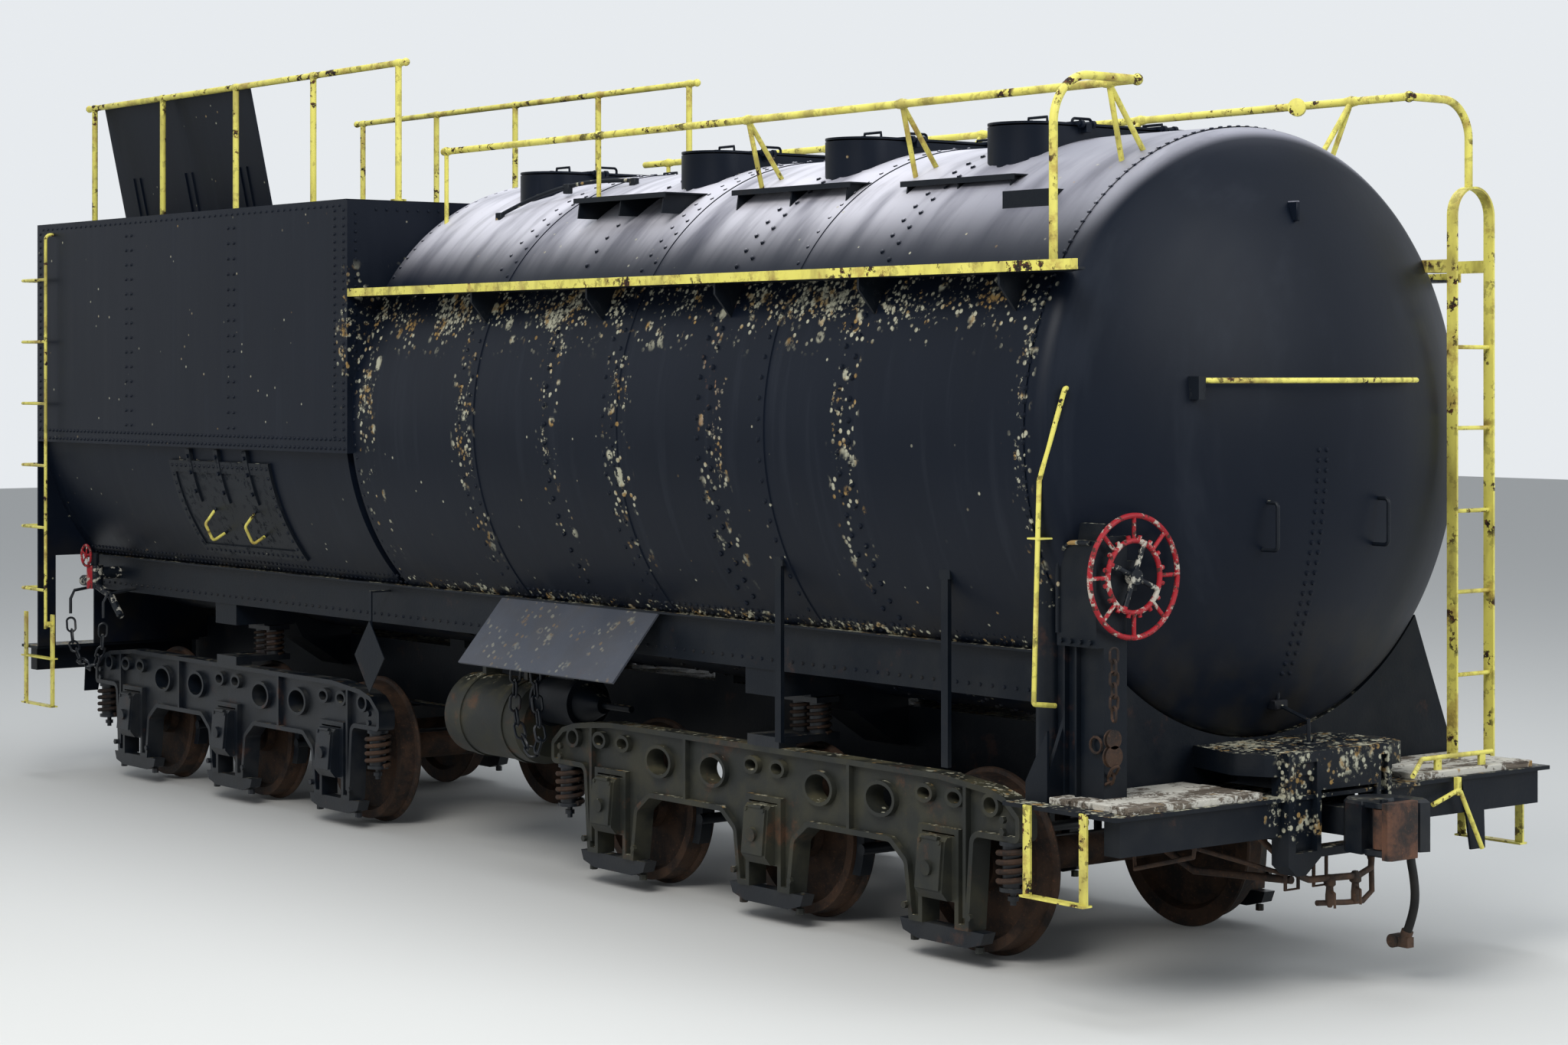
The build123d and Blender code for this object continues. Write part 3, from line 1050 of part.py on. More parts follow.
def side_hatch():
    """Washout door on the tank's lower side: frame, door, hinge straps and two curved handles."""
    x0, x1 = HATCH_DOOR_X
    low, high = HATCH_DOOR_ANGLE
    door = tank_patch(HATCH_DOOR_X, HATCH_DOOR_ANGLE, 22)
    door -= tank_patch((x0 + 70, x1 - 70), (low + 3, high - 3), 23)
    door += tank_patch((x0 + 60, x1 - 60), (low + 2.5, high - 2.5), 12)
    for x in (x0 + 300, (x0 + x1) / 2, x1 - 300):
        door += tank_patch((x - 30, x + 30), (low - 3, low + 11), 26)
    for x in (x0 + 470, x1 - 370):
        door += tube_run(10, [(x, -1300, 1900), (x, -1420, 1830), (x, -1480, 1950), (x, -1400, 2050)], 25)
    return door - tank_cylinder(x0 - 10, x1 + 10)


# Air hoses

def angle_cock():
    """Brake pipe end on the end beam, turned down to where the air hose hangs."""
    cock = rod(20, (DECK_X1 - 300, HOSE_Y, COCK_Z), (DECK_X1, HOSE_Y, COCK_Z))
    cock += rod(34, (DECK_X1, HOSE_Y, COCK_Z), (COCK_X, HOSE_Y, COCK_Z))
    cock += rod(32, (COCK_X, HOSE_Y, COCK_FOOT_Z), (COCK_X, HOSE_Y, COCK_Z + 34))
    return cock + block(DECK_X1 - 30, DECK_X1, HOSE_Y - 30, HOSE_Y + 30, COCK_Z - 45, COCK_Z + 40)


def hose_points():
    return [Vector(COCK_X + x, HOSE_Y, z) for x, z in HOSE_ROUTE]


def hose_corners():
    """Each corner of the hose's route: its turn, the shorter run beside it and the arc's radius."""
    points = hose_points()
    found = []
    for before, corner, after in zip(points, points[1:], points[2:]):
        run_in, run_out = corner - before, after - corner
        turn = math.radians(run_in.get_angle(run_out))
        run = min(run_in.length, run_out.length)
        found.append((turn, run, HOSE_FILL * run / math.tan(turn / 2)))
    return found


def air_hose():
    """The hose as straight runs joined by arcs, one for each corner of its route."""
    points = hose_points()
    edges = []
    start = points[0]
    for corner, after, (turn, run, radius) in zip(points[1:], points[2:], hose_corners()):
        along_in = (corner - start).normalized()
        along_out = (after - corner).normalized()
        cut = HOSE_FILL * run
        arc_start, arc_end = corner - along_in * cut, corner + along_out * cut
        inward = (along_out - along_in).normalized()
        middle = corner + inward * (radius / math.cos(turn / 2) - radius)
        edges += [Line(start, arc_start), ThreePointArc(arc_start, middle, arc_end)]
        start = arc_end
    edges.append(Line(start, points[-1]))
    path = Wire(edges)
    hose = sweep(Plane(origin=path @ 0, z_dir=path % 0) * Circle(HOSE_R), path=path)
    radii = [round(radius) for _, _, radius in hose_corners()]
    share = hose.volume / (math.pi * HOSE_R ** 2 * path.length)
    print(f"hose length {path.length:.0f}, arc radii {radii}, volume over section x length {share:.3f}")
    return hose


def gladhand():
    """Coupling on the hose's lower end."""
    points = hose_points()
    end = points[-1]
    along = (end - points[-2]).normalized()
    body = extrude(Plane(origin=end, z_dir=along) * Circle(30), 55)
    tip = end + along * 40
    head = block(tip.X - 60, tip.X + 35, HOSE_Y - 24, HOSE_Y + 24, tip.Z - 45, tip.Z + 5)
    ear = rod(34, (tip.X - 60, HOSE_Y - 30, tip.Z - 20), (tip.X - 60, HOSE_Y + 30, tip.Z - 20))
    return body + head + ear


def build_body():
    save("tank_shell", [tank_shell()])
    save("bunker_trough", [bunker_trough()])
    save("bunker_floor", [bunker_floor()])
    save("bunker_side_walls", bunker_sides())
    save("bunker_end_walls", bunker_ends())
    save("bunker_roof", [bunker_roof()])
    save("bunker_lid_near", [near_lid_open()])
    save("bunker_lid_far", [bunker_lid(1)])
    save("fill_coamings", [fill_coaming(x, z) for _, x, z in FILL_HATCHES])
    for name, x, z in FILL_HATCHES:
        save(name, [fill_lid(x, z)])
    save("handrails", both_sides(bunker_rail()) + [tank_rail_near(), tank_rail_far()])
    far_board = running_board(HEAD_SEAM_X + 50, 10).mirror(Plane.XZ)
    save("running_boards", [running_board(BOARD_END_X, 320), far_board])
    save("tank_steps", tank_steps())
    save("ladders", [end_ladder(), corner_ladder()])
    grabs = [grab_iron(y) for y in GRAB_IRON_Y]
    save("handholds", [corner_handhold(), head_rail(), near_handhold()] + grabs)
    steps = [stirrup(RIGHT_STEP_X, y, DECK_Z, (STEP_DROP_Z,)) for y in (-STEP_Y, STEP_Y)]
    steps += [stirrup(LEFT_STEP_X, y, 1200, (STEP_DROP_Z, 870)) for y in (-STEP_Y, STEP_Y)]
    save("stirrup_steps", steps)
    save("centre_sill", [centre_sill()])
    save("body_bolsters", body_bolster(-TRUCK_X) + body_bolster(TRUCK_X))
    save("side_sills", side_sill())
    save("end_decks", end_decks())


def build_trucks():
    for name, centre_x in (("left", -TRUCK_X), ("right", TRUCK_X)):
        save(f"truck_{name}_side_frames", both_sides(side_frame(centre_x)))
        save(f"truck_{name}_ties_and_springs", pedestal_ties(centre_x) + end_springs(centre_x))
        save(f"truck_{name}_journal_boxes", journal_boxes(centre_x))
        save(f"truck_{name}_bolster", [truck_bolster(centre_x)])
        save(f"truck_{name}_side_bearings", side_bearing(centre_x))
        save(f"truck_{name}_brakes", brake_gear(centre_x))
        for number, x in enumerate(axle_places(), start=1):
            save(f"wheelset_{name}_{number}", wheelset(centre_x + x))


def build_fittings():
    save("handbrake_wheel", [handbrake_wheel()])
    save("handbrake_housing", [handbrake_housing()])
    save("brake_cylinder", [brake_cylinder()])
    save("air_reservoir", [air_reservoir()])
    save("slant_cover", [slant_cover()])
    save("drop_bars", drop_bars())
    save("placard_holder", [placard_holder()])
    save("water_valve", [water_valve()])
    save("side_hatch", [side_hatch()])
    save("uncoupling_lever", uncoupling_lever())
    save("angle_cocks", [at_end(angle_cock(), side) for side in (1, -1)])
    hose = air_hose()
    for name, side, pin_x in (("right", 1, RIGHT_PIN_X), ("left", -1, LEFT_PIN_X)):
        save(f"coupler_{name}", [place_coupler(coupler_body(), pin_x)])
        save(f"knuckle_{name}", [place_coupler(knuckle(), pin_x)])
        save(f"air_hose_{name}", [at_end(hose, side)])
        save(f"gladhand_{name}", [at_end(gladhand(), side)])


build_body()
build_trucks()
build_fittings()
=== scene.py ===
import json
from functools import reduce
from math import acos, asin, atan2, copysign, cos, pi, radians, sin, sqrt

import bmesh
import bpy
from mathutils import Matrix, Vector, noise

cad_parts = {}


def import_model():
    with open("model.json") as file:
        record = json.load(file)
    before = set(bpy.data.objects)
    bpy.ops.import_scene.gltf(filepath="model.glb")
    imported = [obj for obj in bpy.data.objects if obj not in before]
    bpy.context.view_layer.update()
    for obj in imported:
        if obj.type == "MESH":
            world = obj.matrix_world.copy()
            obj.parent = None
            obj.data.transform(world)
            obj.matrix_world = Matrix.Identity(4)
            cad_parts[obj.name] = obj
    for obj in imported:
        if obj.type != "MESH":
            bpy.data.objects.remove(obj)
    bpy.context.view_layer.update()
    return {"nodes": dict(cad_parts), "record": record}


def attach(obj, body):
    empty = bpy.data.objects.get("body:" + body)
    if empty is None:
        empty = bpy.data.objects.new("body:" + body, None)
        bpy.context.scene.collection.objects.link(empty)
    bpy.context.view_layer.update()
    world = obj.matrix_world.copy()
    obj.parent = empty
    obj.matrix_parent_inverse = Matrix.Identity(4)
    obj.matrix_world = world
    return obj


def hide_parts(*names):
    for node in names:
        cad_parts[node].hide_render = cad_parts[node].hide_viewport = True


# Looks of the railway tank car. Everything is in metres.
# Places are given from the point midway between the trucks at the top of the rails: X runs towards
# the dished tank head, Y across the car (negative is the near side), Z up. at() gives them in the
# frame, and shaders, which work in the frame, add SHIFT to them.

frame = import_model()
nodes = frame["nodes"]

SHIFT = Vector((-0.435, 0.0, 0.029))

# Tank and bunker
TANK_R = 1.524
TANK_Z = 2.682                      # the cylinder's axis
TANK_X0 = -0.576                    # the shell begins at the bunker's end wall
TROUGH_X0 = -5.076                  # the tank's lower part begins at the bunker's left end
TROUGH_TOP_Z = 2.490
HEAD_SEAM_X = 5.65
HEAD_APEX_X = 6.13
HEAD_CROWN_R = 3.05
HEAD_KNUCKLE_R = 0.12
LUG_Z = 3.78                        # lifting lug on the head
STAY_Z = 1.33                       # bracket under the head
BUNKER_X = (-5.09, -0.576)
BUNKER_HALF = 1.56
BUNKER_SKIRT_Z = 2.47
BUNKER_TOP_Z = 4.06
HATCH_DOOR_X = (-3.08, -1.68)
HATCH_DOOR_ANGLE = (11.4, 38.2)     # degrees below the tank's axis
WELLS = ((0.150, 4.215), (1.860, 4.250), (3.200, 4.250), (4.540, 4.250))    # middle and rim of each
WELL_HALF_W = 0.200
WELL_REACH = 0.490                  # from a well's middle to those of its round ends
WELL_DEPTH = 0.35

# Plates of the tank: rivet columns, and the edges where each course laps over the next
SEAMS = (0.68, 0.79, 1.58, 2.17, 2.26, 3.05, 3.15, 3.59, 4.24, 4.33)
PLATE_EDGES = (0.835, 1.625, 2.305, 3.195, 3.635, 4.375)
LAP = 0.006
RIVET = (0.016, 0.011)              # radius and height of its head
SMALL_RIVET = (0.014, 0.010)

# Underframe, trucks and fittings
TRUCK_X = {"left": -3.057, "right": 3.057}
AXLE_SPACING = 1.451
FRAME_FACE_Y = 1.08
END_SPRING_X = 1.95                 # from the truck's middle
DECK_Z = 0.95
DECK_X = (5.72, 6.28)
DECK_HALF = 1.45
NOSE_HALF = 0.56
NOSE_TOP_Z = 1.15
SILL_TOP_Z = 1.624
SILL_Y = 1.085
BOARD_Z = 3.50                      # underside of the running boards
BOARD_EDGE_Y = 1.546
WHEEL_HUB = (-1.163, 2.02)          # Y and Z of the handwheel's middle
CASING_FACE_Y = -1.372


def at(x, y, z):
    """A place in the frame."""
    return Vector((x, y, z)) + SHIFT


def route(*places):
    return [at(*place) for place in places]


def full_circle(count):
    """Angles at equal steps."""
    return [2 * pi * k / count for k in range(count)]


def new_object(name, data):
    made = bpy.data.objects.new(name, data)
    bpy.context.scene.collection.objects.link(made)
    return made


# Camera, floor and light

CAMERA_PLACE = (16.4444, -11.486, 2.9764)
CAMERA_TURN = 0.9033
FOCAL_PX = 4062.4
IMAGE_W = 2048
HORIZON_ABOVE_MIDDLE_PX = 195.5


def camera():
    data = bpy.data.cameras.new("camera")
    data.sensor_width = 36
    data.lens = FOCAL_PX / IMAGE_W * data.sensor_width
    data.shift_y = -HORIZON_ABOVE_MIDDLE_PX / IMAGE_W
    data.clip_end = 200
    made = new_object("camera", data)
    made.location = at(*CAMERA_PLACE)
    made.rotation_euler = (pi / 2, 0, CAMERA_TURN)
    bpy.context.scene.camera = made


def area_light(name, place, target, size, power, colour):
    data = bpy.data.lights.new(name, "AREA")
    data.shape = "DISK"
    data.size = size
    data.energy = power
    data.color = colour
    made = new_object(name, data)
    made.location = place
    made.rotation_euler = (Vector(target) - Vector(place)).to_track_quat("-Z", "Y").to_euler()


def world():
    """Cool light on the car, and a pale backdrop where the camera or a reflection sees it."""
    made = bpy.data.worlds.new("studio")
    bpy.context.scene.world = made
    made.use_nodes = True
    tree = made.node_tree
    light = tree.nodes["Background"]
    light.inputs["Color"].default_value = (0.86, 0.92, 1.0, 1)
    light.inputs["Strength"].default_value = 0.50
    seen = tree.nodes.new("ShaderNodeBackground")
    seen.inputs["Color"].default_value = (0.80, 0.83, 0.86, 1)
    path = tree.nodes.new("ShaderNodeLightPath")
    share = path.outputs["Is Camera Ray"]
    for kind in ("Is Glossy Ray", "Is Transmission Ray"):
        most = tree.nodes.new("ShaderNodeMath")
        most.operation = "MAXIMUM"
        tree.links.new(share, most.inputs[0])
        tree.links.new(path.outputs[kind], most.inputs[1])
        share = most.outputs[0]
    mix = tree.nodes.new("ShaderNodeMixShader")
    tree.links.new(share, mix.inputs[0])
    tree.links.new(light.outputs[0], mix.inputs[1])
    tree.links.new(seen.outputs[0], mix.inputs[2])
    tree.links.new(mix.outputs[0], tree.nodes["World Output"].inputs["Surface"])


def floor():
    mesh = bpy.data.meshes.new("floor")
    half = 60
    corners = [(-half, -half, 0), (half, -half, 0), (half, half, 0), (-half, half, 0)]
    mesh.from_pydata(corners, [], [(0, 1, 2, 3)])
    made = new_object("floor", mesh)
    surface = bpy.data.materials.new("floor")
    surface.use_nodes = True
    shader = surface.node_tree.nodes["Principled BSDF"]
    shader.inputs["Base Color"].default_value = (0.60, 0.60, 0.58, 1)
    shader.inputs["Roughness"].default_value = 0.9
    mesh.materials.append(surface)


def lights():
    area_light("key", (9, -12, 13), (0, 0, 2), 9, 1900, (1.0, 0.98, 0.95))
    area_light("fill", (16, 4, 8), (4, 0, 2), 8, 700, (0.92, 0.96, 1.0))
    area_light("sky", (0, 0, 16), (0, 0, 2), 14, 1500, (0.93, 0.96, 1.0))


# Materials: a small layer over Blender's shader nodes

class Shader:
    """A material with short calls for the nodes that the finishes share."""

    def __init__(self, name):
        self.material = bpy.data.materials.new(name)
        self.material.use_nodes = True
        self.tree = self.material.node_tree
        self.surface = self.tree.nodes["Principled BSDF"]
        self.place = self.node("TexCoord").outputs["Object"]
        self.x, self.y, self.z = self.node("SeparateXYZ", Vector=self.place).outputs
        normal = self.node("NewGeometry").outputs["Normal"]
        self.up = self.node("SeparateXYZ", Vector=normal).outputs[2]

    def node(self, kind, **inputs):
        """A new node, with inputs set or linked by their names."""
        made = self.tree.nodes.new(f"ShaderNode{kind}")
        for name, value in inputs.items():
            self.feed(made.inputs[name], value)
        return made

    def feed(self, socket, value):
        if isinstance(value, bpy.types.NodeSocket):
            self.tree.links.new(value, socket)
        elif isinstance(value, tuple) and len(value) == 3 and socket.type == "RGBA":
            socket.default_value = (*value, 1)
        else:
            socket.default_value = value

    def noise(self, scale, detail=4.0, stretch=None, rough=0.55):
        place = self.place
        if stretch:
            place = self.node("Mapping", Scale=stretch, Vector=place).outputs[0]
        made = self.node("TexNoise", Scale=scale, Detail=detail, Roughness=rough, Vector=place)
        return made.outputs["Fac"]

    def cells(self, scale):
        """Distance to the nearest of scattered points, for round spots."""
        return self.node("TexVoronoi", Scale=scale, Vector=self.place).outputs["Distance"]

    def step(self, value, low, high):
        """0 below low, 1 above high, smooth between them; low above high turns it round."""
        made = self.node("MapRange", Value=value)
        made.interpolation_type = "SMOOTHSTEP"
        ends = (low, high, 0.0, 1.0) if low < high else (high, low, 1.0, 0.0)
        for name, end in zip(("From Min", "From Max", "To Min", "To Max"), ends):
            made.inputs[name].default_value = end
        return made.outputs["Result"]

    def math(self, operation, first, second=0.0):
        made = self.node("Math")
        made.operation = operation
        self.feed(made.inputs[0], first)
        self.feed(made.inputs[1], second)
        return made.outputs[0]

    def product(self, *values):
        return reduce(lambda first, second: self.math("MULTIPLY", first, second), values)

    def most(self, *values):
        return reduce(lambda first, second: self.math("MAXIMUM", first, second), values)

    def mix(self, share, first, second):
        made = self.node("Mix")
        made.data_type = "RGBA"
        self.feed(made.inputs["Factor"], share)
        self.feed(made.inputs[6], first)
        self.feed(made.inputs[7], second)
        return made.outputs[2]

    def blend(self, share, first, second):
        made = self.node("Mix")
        self.feed(made.inputs[0], share)
        self.feed(made.inputs[2], first)
        self.feed(made.inputs[3], second)
        return made.outputs[0]

    def aside(self):
        """Distance from the car's middle plane."""
        return self.math("ABSOLUTE", self.y)

    def reach_from(self, y, z):
        """Distance from a line along the car at y and z."""
        across = self.math("SUBTRACT", self.y, y)
        rise = self.math("SUBTRACT", self.z, z + SHIFT.z)
        squares = self.math("ADD", self.product(across, across), self.product(rise, rise))
        return self.math("SQRT", squares)

    def near(self, value, centre, half_width):
        """1 at centre, 0 beyond half_width of it."""
        away = self.math("ABSOLUTE", self.math("SUBTRACT", value, centre))
        return self.step(away, half_width, half_width * 0.35)

    def finish(self, colour, roughness, height, strength, depth, metallic=0.0, sheen=0.22):
        self.feed(self.surface.inputs["Base Color"], colour)
        self.surface.inputs["Specular IOR Level"].default_value = sheen
        self.feed(self.surface.inputs["Roughness"], roughness)
        self.surface.inputs["Metallic"].default_value = metallic
        bump = self.node("Bump", Strength=strength, Distance=depth, Height=height)
        self.tree.links.new(bump.outputs[0], self.surface.inputs["Normal"])
        return self.material


# Colours; where there are two, the paint wanders between them
LICHEN = (0.42, 0.41, 0.31)
LICHEN_OCHRE = (0.30, 0.19, 0.07)
BLACK = ((0.0024, 0.0042, 0.0074), (0.0060, 0.0090, 0.0142))
SHEET_GREY = ((0.036, 0.043, 0.058), (0.085, 0.092, 0.112))
MOSSY = ((0.0075, 0.0095, 0.0115), (0.0330, 0.0345, 0.0270))
RUST = (0.115, 0.042, 0.018)
RUST_PALE = (0.24, 0.10, 0.045)

REAR_X = -1.05    # where the bunker's paint ends and the tank's begins, in the frame


def lichen_patches(s, where):
    """Share of lichen over a surface, from the share of the places where it grows."""
    broad = s.noise(2.6, 6, rough=0.7)
    fine = s.noise(26, 4, rough=0.65)
    body = s.math("ADD", s.product(broad, 0.62), s.product(fine, 0.38))
    above = s.math("SUBTRACT", body, s.math("SUBTRACT", 1.02, s.product(where, 0.55)))
    rosettes = s.step(s.cells(31), 0.47, 0.33)
    patch = s.product(s.step(above, -0.03, 0.02), s.most(rosettes, s.step(above, 0.03, 0.12)))
    small = s.step(s.cells(21), 0.32, 0.22)
    large = s.product(s.step(s.cells(7.5), 0.30, 0.20), s.step(fine, 0.42, 0.50))
    sparse = s.step(s.noise(5.5, 3), 0.46, 0.56)
    return s.most(patch, s.product(s.most(small, large), sparse, s.step(where, 0.35, 0.75)))


def lichen_colour(s, scale, low, high):
    """Grey-green lichen with ochre patches."""
    return s.mix(s.step(s.noise(scale, 3), low, high), LICHEN, LICHEN_OCHRE)


def top_fade_and_sheen(s, streaks):
    """Share and colour of the pale top of the tank's shell: worn paint, with a painted sky sheen on
    upward faces that grows brighter away from the head.
    """
    on_shell = s.product(s.step(s.reach_from(0, TANK_Z), TANK_R + 0.03, TANK_R + 0.02),
                         s.step(s.x, REAR_X + 0.01, REAR_X + 0.02))
    # painted sky reflection: the shell's upward faces are lightened, the more so the more they face
    # up
    top = s.product(s.step(s.up, 0.42, 0.88), s.step(s.z, 3.5, 3.9), on_shell)
    veils = s.noise(1.0, 4, stretch=(3.6, 0.8, 0.8), rough=0.5)
    # painted sheen: the top's colour grows brighter away from the head
    pale = s.mix(s.step(s.x, 4.6, 3.0), (0.300, 0.300, 0.345), (0.640, 0.630, 0.690))
    fade_and_sheen = s.mix(s.step(veils, 0.28, 0.60), (0.150, 0.150, 0.185), pale)
    fade_and_sheen = s.mix(s.product(s.step(streaks, 0.50, 0.70), 0.30), fade_and_sheen, (0.060, 0.060, 0.078))
    return top, fade_and_sheen


def tank_lichen_places(s, tank_side):
    """Where lichen grows on the tank: under the running board, down the seams, along the sill."""
    seam = 0.0
    for x in SEAMS[::2] + (-0.45, 5.62):
        seam = s.most(seam, s.near(s.x, x + SHIFT.x + 0.04, 0.20))
    below_board = s.step(s.z, BOARD_Z + 0.06, BOARD_Z)
    under_board = s.product(tank_side, s.step(s.z, 2.86, 3.38), below_board)
    column = s.product(tank_side, seam, s.step(s.z, 1.2, 2.5), below_board)
    rear_edge = s.product(s.near(s.x, REAR_X - 0.01, 0.14), s.step(s.z, 2.3, 3.2),
                          s.step(s.z, 4.1, 3.3))
    over_sill = s.product(s.near(s.z, SILL_TOP_Z + SHIFT.z + 0.02, 0.07), s.step(s.x, -1.2, -0.9),
                          s.step(s.x, 5.22, 5.18), s.step(s.aside(), 1.02, 1.08))
    return s.most(s.product(under_board, 0.90), s.product(column, 0.84), s.product(rear_edge, 0.85),
                  s.product(over_sill, 0.86), 0.10)


def tank_paint():
    """Dark navy paint: worn pale on top under a painted sky sheen, streaked down the sides, with
    lichen along the seams.
    """
    s = Shader("tank_paint")
    streaks = s.noise(1.0, 5, stretch=(9.0, 2.0, 0.55), rough=0.6)
    fine = s.noise(38, 5)
    navy = s.mix(s.noise(0.9, 3), (0.0020, 0.0040, 0.0088), (0.0048, 0.0082, 0.0165))
    navy = s.mix(s.product(s.step(streaks, 0.52, 0.72), 0.45), navy, (0.014, 0.018, 0.027))
    top, fade_and_sheen = top_fade_and_sheen(s, streaks)
    # worn paint and painted sky sheen laid over the shell's top
    navy = s.mix(s.product(top, 0.95), navy, fade_and_sheen)
    low = s.product(s.step(s.z, 2.1, 1.3), s.step(s.noise(3.1, 4), 0.42, 0.66))
    navy = s.mix(s.product(low, 0.55), navy, (0.022, 0.019, 0.014))
    tank_side = s.product(s.step(s.x, REAR_X, REAR_X + 0.10), s.step(s.x, 5.30, 5.18),
                          s.step(s.y, -0.9, -1.15))
    grown = lichen_patches(s, tank_lichen_places(s, tank_side))
    rusty = s.product(tank_side, s.near(s.x, 3.10 + SHIFT.x, 0.22), s.step(s.z, 2.4, 3.1),
                      s.step(s.noise(7, 4), 0.46, 0.60))
    crust = s.mix(rusty, lichen_colour(s, 9, 0.48, 0.62), RUST_PALE)
    specks = s.product(s.step(s.cells(9.0), 0.095, 0.05), s.step(s.noise(1.7, 2), 0.46, 0.58),
                       s.step(s.x, 5.3, 5.1))
    colour = s.mix(s.most(grown, s.product(specks, 0.8)), navy, crust)
    roughness = s.blend(grown, s.blend(top, s.blend(streaks, 0.34, 0.50), 0.44), 0.9)
    height = s.math("ADD", s.product(fine, 0.10), s.product(grown, s.math("ADD", fine, 0.6)))
    return s.finish(colour, roughness, height, 0.5, 0.006, sheen=0.13)


def frame_crust(s):
    """1 on the head end's nose and on the handbrake casing's edge, where lichen is thick."""
    nose = s.product(s.step(s.x, 6.20 + SHIFT.x, 6.24 + SHIFT.x), s.step(s.aside(), 0.62, 0.50),
                     s.step(s.z, 0.70, 0.80))
    casing = s.product(s.near(s.x, DECK_X[1] - 0.69 + SHIFT.x, 0.12), s.step(s.y, -1.05, -1.12),
                       s.near(s.z, 2.02, 0.34))
    return s.most(nose, casing)


def black_steel(name, dust, tint, rust_share, lichen_share, paint=BLACK, roughness=0.46, sheen=0.22,
                spots=0.06, crust_where=None):
    """Black painted or cast steel with dust on top faces, rust and some lichen."""
    s = Shader(name)
    fine = s.noise(46, 5, rough=0.65)
    black = s.mix(s.noise(2.2, 5), *paint)
    facing = s.most(s.step(s.up, 0.25, 0.9), 0.30)
    dirt = s.product(facing, s.step(s.noise(5, 5), 0.40, 0.68), dust)
    colour = s.mix(dirt, black, tint)
    spread = s.step(s.noise(3.4, 7, rough=0.72), 0.62 - 0.16 * rust_share, 0.72)
    rusty = s.product(spread, rust_share)
    colour = s.mix(rusty, colour, s.mix(fine, RUST, RUST_PALE))
    where = s.most(s.product(s.step(s.up, 0.75, 0.95), lichen_share), spots)
    if crust_where:
        where = s.most(where, s.product(crust_where(s), 0.9))
    grown = lichen_patches(s, where)
    colour = s.mix(grown, colour, lichen_colour(s, 11, 0.5, 0.62))
    rough = s.blend(s.most(rusty, grown, dirt), roughness, 0.88)
    lifted = s.math("ADD", s.product(rusty, fine), s.product(grown, 0.8))
    height = s.math("ADD", s.product(fine, 0.35), lifted)
    return s.finish(colour, rough, height, 0.55, 0.005, sheen=sheen)


def yellow_paint(name, black_where=None):
    """Grimy yellow paint chipped down to black and rust; black_where gives the share left black."""
    s = Shader(name)
    fine = s.noise(60, 5, rough=0.7)
    chips = s.step(s.noise(15, 6, rough=0.70), 0.545, 0.575)
    sparse = s.step(s.noise(3.0, 3), 0.42, 0.56)
    stain = s.step(s.noise(7, 5, stretch=(1.0, 1.0, 0.35)), 0.46, 0.70)
    colour = s.mix(s.noise(5, 3), (0.66, 0.60, 0.10), (0.80, 0.73, 0.19))
    colour = s.mix(s.product(stain, 0.60), colour, (0.24, 0.18, 0.055))
    run_off = s.product(s.step(s.noise(4.5, 5, rough=0.7), 0.52, 0.66), 0.6)
    colour = s.mix(run_off, colour, (0.30, 0.16, 0.045))
    bare = s.product(chips, s.most(sparse, 0.30))
    colour = s.mix(bare, colour, s.mix(s.step(fine, 0.50, 0.66), (0.012, 0.010, 0.010), RUST))
    if black_where:
        grown = lichen_patches(s, s.product(s.step(s.up, 0.7, 0.95), 0.8))
        black = s.mix(grown, s.mix(s.noise(3, 4), *BLACK), LICHEN)
        colour = s.mix(black_where(s), colour, black)
    height = s.math("SUBTRACT", s.product(fine, 0.2), bare)
    return s.finish(colour, s.blend(bare, 0.46, 0.85), height, 0.6, 0.0025)


def inside_board(s):
    """1 on the running boards, apart from their outer edge."""
    return s.step(s.aside(), BOARD_EDGE_Y + 0.001, BOARD_EDGE_Y - 0.001)


def head_grips(s):
    """1 on the pair of grab irons low on the head and on the bracket of the rail across it."""
    grips = s.product(s.step(s.x, 5.80 + SHIFT.x, 5.81 + SHIFT.x), s.step(s.z, 2.60, 2.59),
                      s.step(s.z, 1.99, 2.0), s.step(s.aside(), 0.71, 0.70))
    bracket = s.product(s.step(s.y, -0.761, -0.762), s.step(s.y, -0.820, -0.818),
                        s.step(s.z, 2.80, 2.81))
    return s.most(grips, bracket)


def hub_share(s):
    """1 within the handwheel's inner ring."""
    return s.step(s.reach_from(*WHEEL_HUB), 0.152, 0.150)


def hatch_body(s):
    """1 on the side hatch, apart from its two bent handles that stand out from the tank."""
    return s.step(s.reach_from(0, TANK_Z), TANK_R + 0.032, TANK_R + 0.031)


def valve_body(s):
    """1 on the water valve behind its wheel and nozzle."""
    return s.step(s.y, -1.335, -1.33)


def red_paint(name, black_where):
    """Red paint worn through in spots, with pale specks; black_where gives the share left black."""
    s = Shader(name)
    fine = s.noise(70, 4)
    colour = s.mix(s.noise(9, 3), (0.24, 0.006, 0.013), (0.38, 0.020, 0.027))
    worn = s.step(s.noise(24, 5, rough=0.7), 0.53, 0.60)
    colour = s.mix(worn, colour, (0.060, 0.026, 0.022))
    grown = s.product(s.step(s.noise(17, 5, rough=0.7), 0.545, 0.60), 0.9)
    colour = s.mix(black_where(s), colour, s.mix(s.noise(8, 4), *BLACK))
    colour = s.mix(grown, colour, (0.46, 0.44, 0.37))
    height = s.math("ADD", s.product(fine, 0.3), s.product(grown, 1.0))
    return s.finish(colour, s.blend(s.most(worn, grown), 0.42, 0.85), height, 0.5, 0.003)


